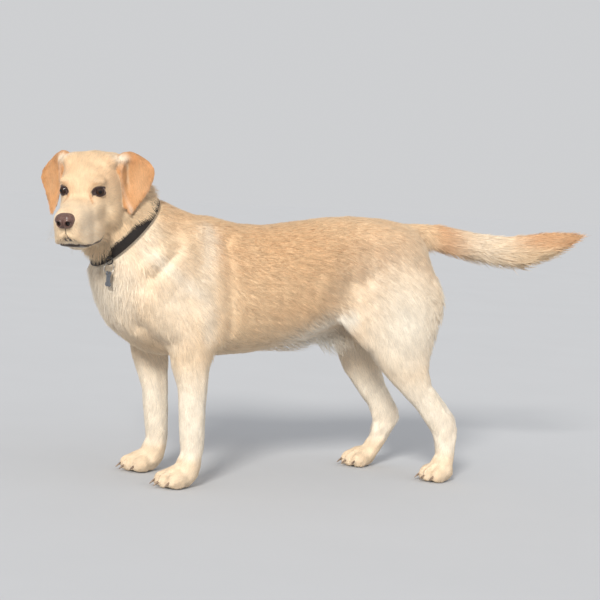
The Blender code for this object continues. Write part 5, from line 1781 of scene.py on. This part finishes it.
def buckle_piece(strap):
    """A wire buckle with a bar and a prong."""
    seat = strap_seat(strap, BUCKLE_AT, COLLAR_THICK + 0.002)
    bar = [(0.004, y, -0.0004) for y in np.linspace(-0.0115, 0.0115, 8)]
    steps = np.linspace(0, 1, 10)
    prong = [(0.004 - 0.0145 * s, 0.0, 0.0016 * math.sin(math.pi * s) + 0.0018) for s in steps]
    pieces = [
        solid_from("collar_buckle_frame", *rounded_frame(0.0235, COLLAR_WIDTH + 0.0035, 0.0016, 0.005), seat),
        solid_from("bar", *tube(np.array(bar), 0.0012), seat),
        solid_from("prong", *tube(np.array(prong), 0.001), seat),
    ]
    return join(pieces, "buckle")


def upright(node):
    """A frame in the middle of a thin flat solid: X across it, Y up, Z out of its face."""
    points = points_of(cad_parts[node].data)
    centre = np.array(middle(node))
    _, _, axes = np.linalg.svd(points - points.mean(axis=0), full_matrices=False)
    out = Vector(axes[2])
    out.z = 0
    out.normalize()
    if out.y > 0:
        out = -out
    up = Vector((0, 0, 1))
    return Matrix.Translation(centre) @ Matrix((up.cross(out), up, out)).transposed().to_4x4()


def dee_piece():
    """The round ring that hangs in the collar's loop."""
    low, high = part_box("collar_ring")
    wire_radius = 0.0011
    radius = (high.z - low.z) / 2 - wire_radius
    ring = primitive(
        bpy.ops.mesh.primitive_torus_add,
        "hanging_ring",
        major_segments=72,
        minor_segments=18,
        major_radius=radius,
        minor_radius=wire_radius,
    )
    ring.data.transform(upright("collar_ring"))
    ring.data.shade_smooth()
    return ring


def split_piece():
    """The split ring: two turns of thin wire side by side, with a step where they cross."""
    low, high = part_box("split_ring")
    wire_radius = 0.00046
    radius = (high.z - low.z) / 2 - wire_radius
    share = np.linspace(0, 1, 129)
    angle = share * 4 * math.pi + 0.4
    offset = wire_radius * (2 * step(share, 0.46, 0.54) - 1)
    path = np.stack([radius * np.cos(angle), radius * np.sin(angle), offset], axis=1)
    return solid_from("thin_ring", *tube(path, wire_radius, 10), upright("split_ring"))


def rounded_off(thing, width, degrees):
    """Rounds the edges sharper than an angle, once the modifiers are applied."""
    limit = math.radians(degrees)
    modify(thing, "BEVEL", width=width, segments=3, limit_method="ANGLE", angle_limit=limit)


def holder_piece():
    """The loop that ties the ring to the collar, rounded off."""
    holder = copy_of(["ring_holder"], "ring_loop")
    rounded_off(holder, 0.0005, 40)
    apply_all(holder)
    return smooth_but_edges(holder, 50)


TAG_LOBE = 0.0046
TAG_HOLE = 0.0019
TAG_THICK = 0.0016


def tag_piece():
    """A plain bone of sheet metal, with soft edges and a hole in its upper end."""
    low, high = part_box("tag")
    reach = (high.z - low.z) / 2 - TAG_LOBE
    shape = bmesh.new()
    outline = []
    for sx, sy, start in ((1, 1, -66), (-1, 1, 52), (-1, -1, 114), (1, -1, 232)):
        for k in range(25):
            angle = math.radians(start + 194 * k / 24)
            x = sx * TAG_LOBE * 0.85 + TAG_LOBE * math.cos(angle)
            outline.append(shape.verts.new((x, sy * reach + TAG_LOBE * math.sin(angle), -TAG_THICK / 2)))
    raised_part = bmesh.ops.extrude_face_region(shape, geom=[shape.faces.new(outline)])
    moved = [item for item in raised_part["geom"] if isinstance(item, bmesh.types.BMVert)]
    bmesh.ops.translate(shape, vec=(0, 0, TAG_THICK), verts=moved)
    bmesh.ops.recalc_face_normals(shape, faces=shape.faces)
    mesh = bpy.data.meshes.new("plain_tag")
    shape.to_mesh(mesh)
    shape.free()
    made = linked("plain_tag", mesh)
    adder = bpy.ops.mesh.primitive_cylinder_add
    hole = primitive(adder, "hole", vertices=40, radius=TAG_HOLE, depth=0.01, location=(0, reach, 0))
    modify(made, "BOOLEAN", object=hole, operation="DIFFERENCE", solver="EXACT")
    rounded_off(made, 0.00032, 60)
    apply_all(made)
    bpy.data.objects.remove(hole)
    made.data.transform(upright("tag"))
    return smooth_but_edges(made, 35)


def leather_material(settings):
    """Softly worn leather: fine grain, creases, lighter where it rubs."""
    material, tree = new_material("collar_leather", Specular_IOR_Level=0.25)
    place = tree.place()
    cells = tree.node("TexVoronoi", {"feature": "DISTANCE_TO_EDGE"}, i0=place, Scale=1300.0)
    grain = cells.between(0.0, 0.25)
    cloud = noise(tree, place, 90.0, 5.0)
    scuff = noise(tree, place, 420.0, 6.0, 0.7).between(0.56, 0.72)
    colour = cloud.mix(settings.leather, (0.02, 0.014, 0.011))
    colour = scuff.mix(colour, (0.045, 0.032, 0.025))
    height = bump(tree, grain * 0.7 + cloud * 0.6, 0.5, 0.00035)
    return wire(material, Base_Color=colour, Roughness=0.42 + scuff * 0.25 + cloud * 0.1, Normal=height)


def thread_material():
    material, tree = new_material("waxed_thread", Specular_IOR_Level=0.4)
    place = tree.place()
    twist = noise(tree, place, 2600.0, 2.0)
    return wire(
        material,
        Base_Color=twist.mix((0.05, 0.032, 0.022), (0.115, 0.08, 0.055)),
        Roughness=0.5 + twist * 0.2,
        Normal=bump(tree, twist, 0.5, 0.0002),
    )


def metal_material(name, colour, roughness, across):
    """Metal with fine scratches, and duller spots from handling."""
    material, tree = new_material(name, Metallic=1.0)
    place = tree.place()
    scratch = noise(tree, place.scaled(across), 2400.0, 3.0, 0.6)
    cloud = noise(tree, place, 260.0, 4.0)
    dull = cloud.between(0.45, 0.7)
    shade = dull.mix(colour, tuple(0.8 * value for value in colour))
    return wire(
        material,
        Base_Color=shade,
        Roughness=roughness + scratch * 0.12 + dull * 0.16,
        Normal=bump(tree, scratch, 0.25, 0.00012),
    )


# -------------------- floor, light and camera

VIEW_TURN = math.radians(65)  # round from the front to the dog's left
VIEW_UP = math.radians(5)
VIEW_AWAY = 3.3
VIEW_TARGET = Vector((0.0, 0.045, 0.387))
VIEW_ROLL = math.radians(4)
LENS = 91.08
FLOOR_SIZE = 40
SKY_COLOUR = (0.97, 0.98, 1.0)
# Where each sun stands, how wide it is, and its colour
KEY_SUN = ((0.8, -0.62, 0.6), math.radians(14), (1.0, 0.965, 0.9))
FILL_SUN = ((0.6, 0.75, 0.5), math.radians(50), (0.93, 0.97, 1.0))


def floor_material(settings):
    material, tree = new_material("studio_floor", Specular_IOR_Level=0.0)
    place = tree.place()
    cloud = noise(tree, place, 3.0, 4.0)
    grit = noise(tree, place, 260.0, 3.0)
    pale = settings.floor
    darker = tuple(0.96 * value for value in pale)
    lighter = tuple(min(1.0, 1.03 * value) for value in pale)
    shade = (cloud * 0.7 + grit * 0.3).mix(darker, lighter)
    height = bump(tree, grit, 0.08, 0.0004)
    return wire(material, Base_Color=shade, Roughness=0.72 + grit * 0.1, Normal=height)


def soft_sun(name, strength, heading, spread, colour):
    """A light from far away, spread wide enough for soft shadows."""
    data = bpy.data.lights.new(name, "SUN")
    data.energy = strength
    data.angle = spread
    data.color = colour
    linked(name, data).matrix_world = Vector(heading).to_track_quat("Z", "Y").to_matrix().to_4x4()


def camera():
    data = bpy.data.cameras.new("camera")
    data.lens = LENS
    data.sensor_width = 36
    data.dof.use_dof = False
    made = linked("camera", data)
    up = math.sin(VIEW_UP)
    level = math.cos(VIEW_UP)
    back = Vector((math.sin(VIEW_TURN) * level, -math.cos(VIEW_TURN) * level, up))
    aim = back.to_track_quat("Z", "Y").to_matrix().to_4x4() @ Matrix.Rotation(VIEW_ROLL, 4, "Z")
    made.matrix_world = BODY @ Matrix.Translation(VIEW_TARGET + back * VIEW_AWAY) @ aim
    bpy.context.scene.camera = made


# -------------------- what a user can change


def swatch(name, description, default):
    return FloatVectorProperty(
        name=name, description=description, default=default, subtype="COLOR", size=3, min=0.0, max=1.0
    )


def amount(name, description, default, **limits):
    return FloatProperty(name=name, description=description, default=default, **limits)


LENGTH = {"subtype": "DISTANCE", "unit": "LENGTH"}


class DogCoat(bpy.types.PropertyGroup):
    cover: amount("Cover", "How many times over the tufts cover the skin", 1.75, min=0.2, max=3.0)
    body_length: amount("Tuft length", "Length of a tuft on the body", 0.0205, **LENGTH)
    body_width: amount("Tuft width", "Width of a tuft on the body", 0.00105, **LENGTH)
    cream: swatch("Cream", "Chest, shoulders and head", (0.88, 0.665, 0.43))
    gold: swatch("Gold", "Back and flanks", (0.81, 0.535, 0.3))
    pale: swatch("Pale", "Belly, legs and thighs", (0.93, 0.855, 0.735))
    tan: swatch("Tan", "Ears, hocks and the root of the tail", (0.68, 0.32, 0.12))
    flesh: swatch("Flesh", "Thinly haired skin", (0.62, 0.36, 0.27))
    rim: swatch("Rims", "Lips, eye rims and pads", (0.03, 0.016, 0.013))


class DogFace(bpy.types.PropertyGroup):
    iris: swatch("Iris", "Colour of the eyes", (0.045, 0.018, 0.009))
    nose: swatch("Nose", "Nose leather", (0.13, 0.055, 0.038))
    nose_pink: swatch("Nose, faded", "Nose leather where it has faded", (0.27, 0.13, 0.095))
    horn: swatch("Claws", "Horn of the claws", (0.24, 0.155, 0.1))


class DogCollar(bpy.types.PropertyGroup):
    leather: swatch("Leather", "Colour of the collar", (0.01, 0.008, 0.008))
    steel: swatch("Steel", "Buckle and rings", (0.5, 0.5, 0.49))
    tag: swatch("Tag", "Metal of the tag", (0.25, 0.26, 0.28))


class DogStudio(bpy.types.PropertyGroup):
    key: amount("Key light", "Strength of the main light", 2.75, min=0.0)
    fill: amount("Fill light", "Strength of the light opposite", 0.3, min=0.0)
    sky: amount("Room light", "Strength of the light from all round", 0.64, min=0.0)
    floor: swatch("Floor", "Colour of the floor", (0.559, 0.57, 0.592))


# -------------------- operators


class DogStep(bpy.types.Operator):
    """Shared by the operators below."""

    bl_options = {"REGISTER", "UNDO"}

    def execute(self, context):
        self.make(context.scene)
        return {"FINISHED"}


class DOG_OT_skin(DogStep):
    """Model the skin that covers the whole dog"""

    bl_idname = "dog.skin"
    bl_label = "Skin"

    def make(self, scene):
        skin = build_skin()
        nodes = [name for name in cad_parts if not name.startswith(HARD_PARTS)]
        coat = Coat(skin)
        paint(skin.data, "coat", np.column_stack([coat.colour, np.full(len(coat.points), 0.5)]))
        paint(skin.data, "bare", np.column_stack([coat.bare, coat.regions.leg, np.ones(len(coat.points))]))
        finished(skin, "coat", skin_material(scene.dog_coat), nodes)


class DOG_OT_coat(DogStep):
    """Cover the skin with the short tufts of the coat"""

    bl_idname = "dog.coat"
    bl_label = "Short coat"

    def make(self, scene):
        skin = bpy.data.objects["skin"]
        coat = Coat(skin)
        material = tuft_material(scene.dog_coat)
        look = short_look(coat, scene.dog_coat)
        for number, (name, wanted) in enumerate(coat_parts(coat).items()):
            piece = coat_piece(name, skin, coat, wanted, look, SEED + 5 * number)
            finished(piece, "ear_coat" if name == "coat_ears" else "coat", material)


class DOG_OT_long_coat(DogStep):
    """Add the longer hair of the ruff, chest, breeches, belly and tail"""

    bl_idname = "dog.long_coat"
    bl_label = "Long coat"

    def make(self, scene):
        skin = bpy.data.objects["skin"]
        coat = Coat(skin)
        material = bpy.data.materials["coat_hair"]
        look = long_look(coat)
        has = coat.mean(look[0]) > 0
        y = coat.mean(coat.regions.body[:, 1])
        for number, (name, wanted) in enumerate((("coat_ruff", y < -0.1), ("coat_fringes", y >= -0.1))):
            piece = coat_piece(name, skin, coat, has & wanted, look, SEED + 90 + number, long=True)
            finished(piece, "coat", material)


class DOG_OT_eyes(DogStep):
    """Set the eyes in their lids"""

    bl_idname = "dog.eyes"
    bl_label = "Eyes"

    def make(self, scene):
        material = eye_material(scene.dog_face)
        for name, side in (("left", 1), ("right", -1)):
            finished(eyeball(f"eyeball_{name}", side), "eye", material, [f"eye_{name}"])


class DOG_OT_nose(DogStep):
    """Model the nose leather and its nostrils"""

    bl_idname = "dog.nose"
    bl_label = "Nose"

    def make(self, scene):
        finished(nose_piece(), "nose_leather", nose_material(scene.dog_face), ["nose_pad"])


class DOG_OT_claws(DogStep):
    """Round off the claws and give them their horn"""

    bl_idname = "dog.claws"
    bl_label = "Claws"

    def make(self, scene):
        nodes = [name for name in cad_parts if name.startswith("claw")]
        finished(claws_piece(nodes), "horn", horn_material(scene.dog_face), nodes)


class DOG_OT_whiskers(DogStep):
    """Grow whiskers on the muzzle, the brows and the chin"""

    bl_idname = "dog.whiskers"
    bl_label = "Whiskers"

    def make(self, scene):
        finished(whiskers_piece(bpy.data.objects["skin"]), "coat", whisker_material())


class DOG_OT_collar(DogStep):
    """Model the leather collar, its stitching and its buckle"""

    bl_idname = "dog.collar"
    bl_label = "Collar"

    def make(self, scene):
        strap = Strap()
        leather = leather_material(scene.dog_collar)
        steel = metal_material("dull_steel", scene.dog_collar.steel, 0.26, (1.0, 0.3, 0.3))
        finished(strap_piece(strap), "collar_leather", leather, ["collar_band"])
        finished(stitch_piece(strap), "collar_leather", thread_material())
        finished(buckle_piece(strap), "steel", steel, ["collar_buckle"])


class DOG_OT_tag(DogStep):
    """Hang the rings and the plain tag from the collar"""

    bl_idname = "dog.tag"
    bl_label = "Rings and tag"

    def make(self, scene):
        steel = bpy.data.materials["dull_steel"]
        brushed = metal_material("tag_metal", scene.dog_collar.tag, 0.3, (0.2, 0.2, 1.0))
        dark = metal_material("dark_steel", (0.075, 0.07, 0.068), 0.3, (0.3, 1.0, 0.3))
        finished(holder_piece(), "steel", dark, ["ring_holder"])
        finished(dee_piece(), "steel", dark, ["collar_ring"])
        finished(split_piece(), "steel", steel, ["split_ring"])
        finished(tag_piece(), "tag_metal", brushed, ["tag"])


class DOG_OT_studio(DogStep):
    """Set the floor, the lights and the camera"""

    bl_idname = "dog.studio"
    bl_label = "Studio"

    def make(self, scene):
        settings = scene.dog_studio
        floor = primitive(bpy.ops.mesh.primitive_plane_add, "studio_floor", size=FLOOR_SIZE)
        floor.data.materials.append(floor_material(settings))
        world = bpy.data.worlds.new("studio")
        world.use_nodes = True
        sky = world.node_tree.nodes["Background"]
        sky.inputs["Color"].default_value = (*SKY_COLOUR, 1.0)
        sky.inputs["Strength"].default_value = settings.sky
        scene.world = world
        soft_sun("key", settings.key, *KEY_SUN)
        soft_sun("fill", settings.fill, *FILL_SUN)
        scene.view_settings.view_transform = "Standard"
        camera()


STEPS = (
    DOG_OT_skin,
    DOG_OT_coat,
    DOG_OT_long_coat,
    DOG_OT_eyes,
    DOG_OT_nose,
    DOG_OT_claws,
    DOG_OT_whiskers,
    DOG_OT_collar,
    DOG_OT_tag,
    DOG_OT_studio,
)
GROUPS = {"dog_coat": DogCoat, "dog_face": DogFace, "dog_collar": DogCollar, "dog_studio": DogStudio}


class DOG_PT_dog(bpy.types.Panel):
    """The dog's settings and the steps that make it"""

    bl_idname = "DOG_PT_dog"
    bl_label = "Standing Labrador"
    bl_space_type = "VIEW_3D"
    bl_region_type = "UI"
    bl_category = "Dog"

    def draw(self, context):
        for group in GROUPS:
            box = self.layout.box()
            settings = getattr(context.scene, group)
            for key in settings.__annotations__:
                box.prop(settings, key)
        for operator in STEPS:
            self.layout.operator(operator.bl_idname)


def register():
    for group, kind in GROUPS.items():
        bpy.utils.register_class(kind)
        setattr(bpy.types.Scene, group, PointerProperty(type=kind))
    for operator in STEPS:
        bpy.utils.register_class(operator)
    bpy.utils.register_class(DOG_PT_dog)


def unregister():
    bpy.utils.unregister_class(DOG_PT_dog)
    for operator in reversed(STEPS):
        bpy.utils.unregister_class(operator)
    for group, kind in GROUPS.items():
        delattr(bpy.types.Scene, group)
        bpy.utils.unregister_class(kind)


def main():
    register()
    for operator in STEPS:
        group, name = operator.bl_idname.split(".")
        getattr(getattr(bpy.ops, group), name)()


if __name__ == "__main__":
    main()
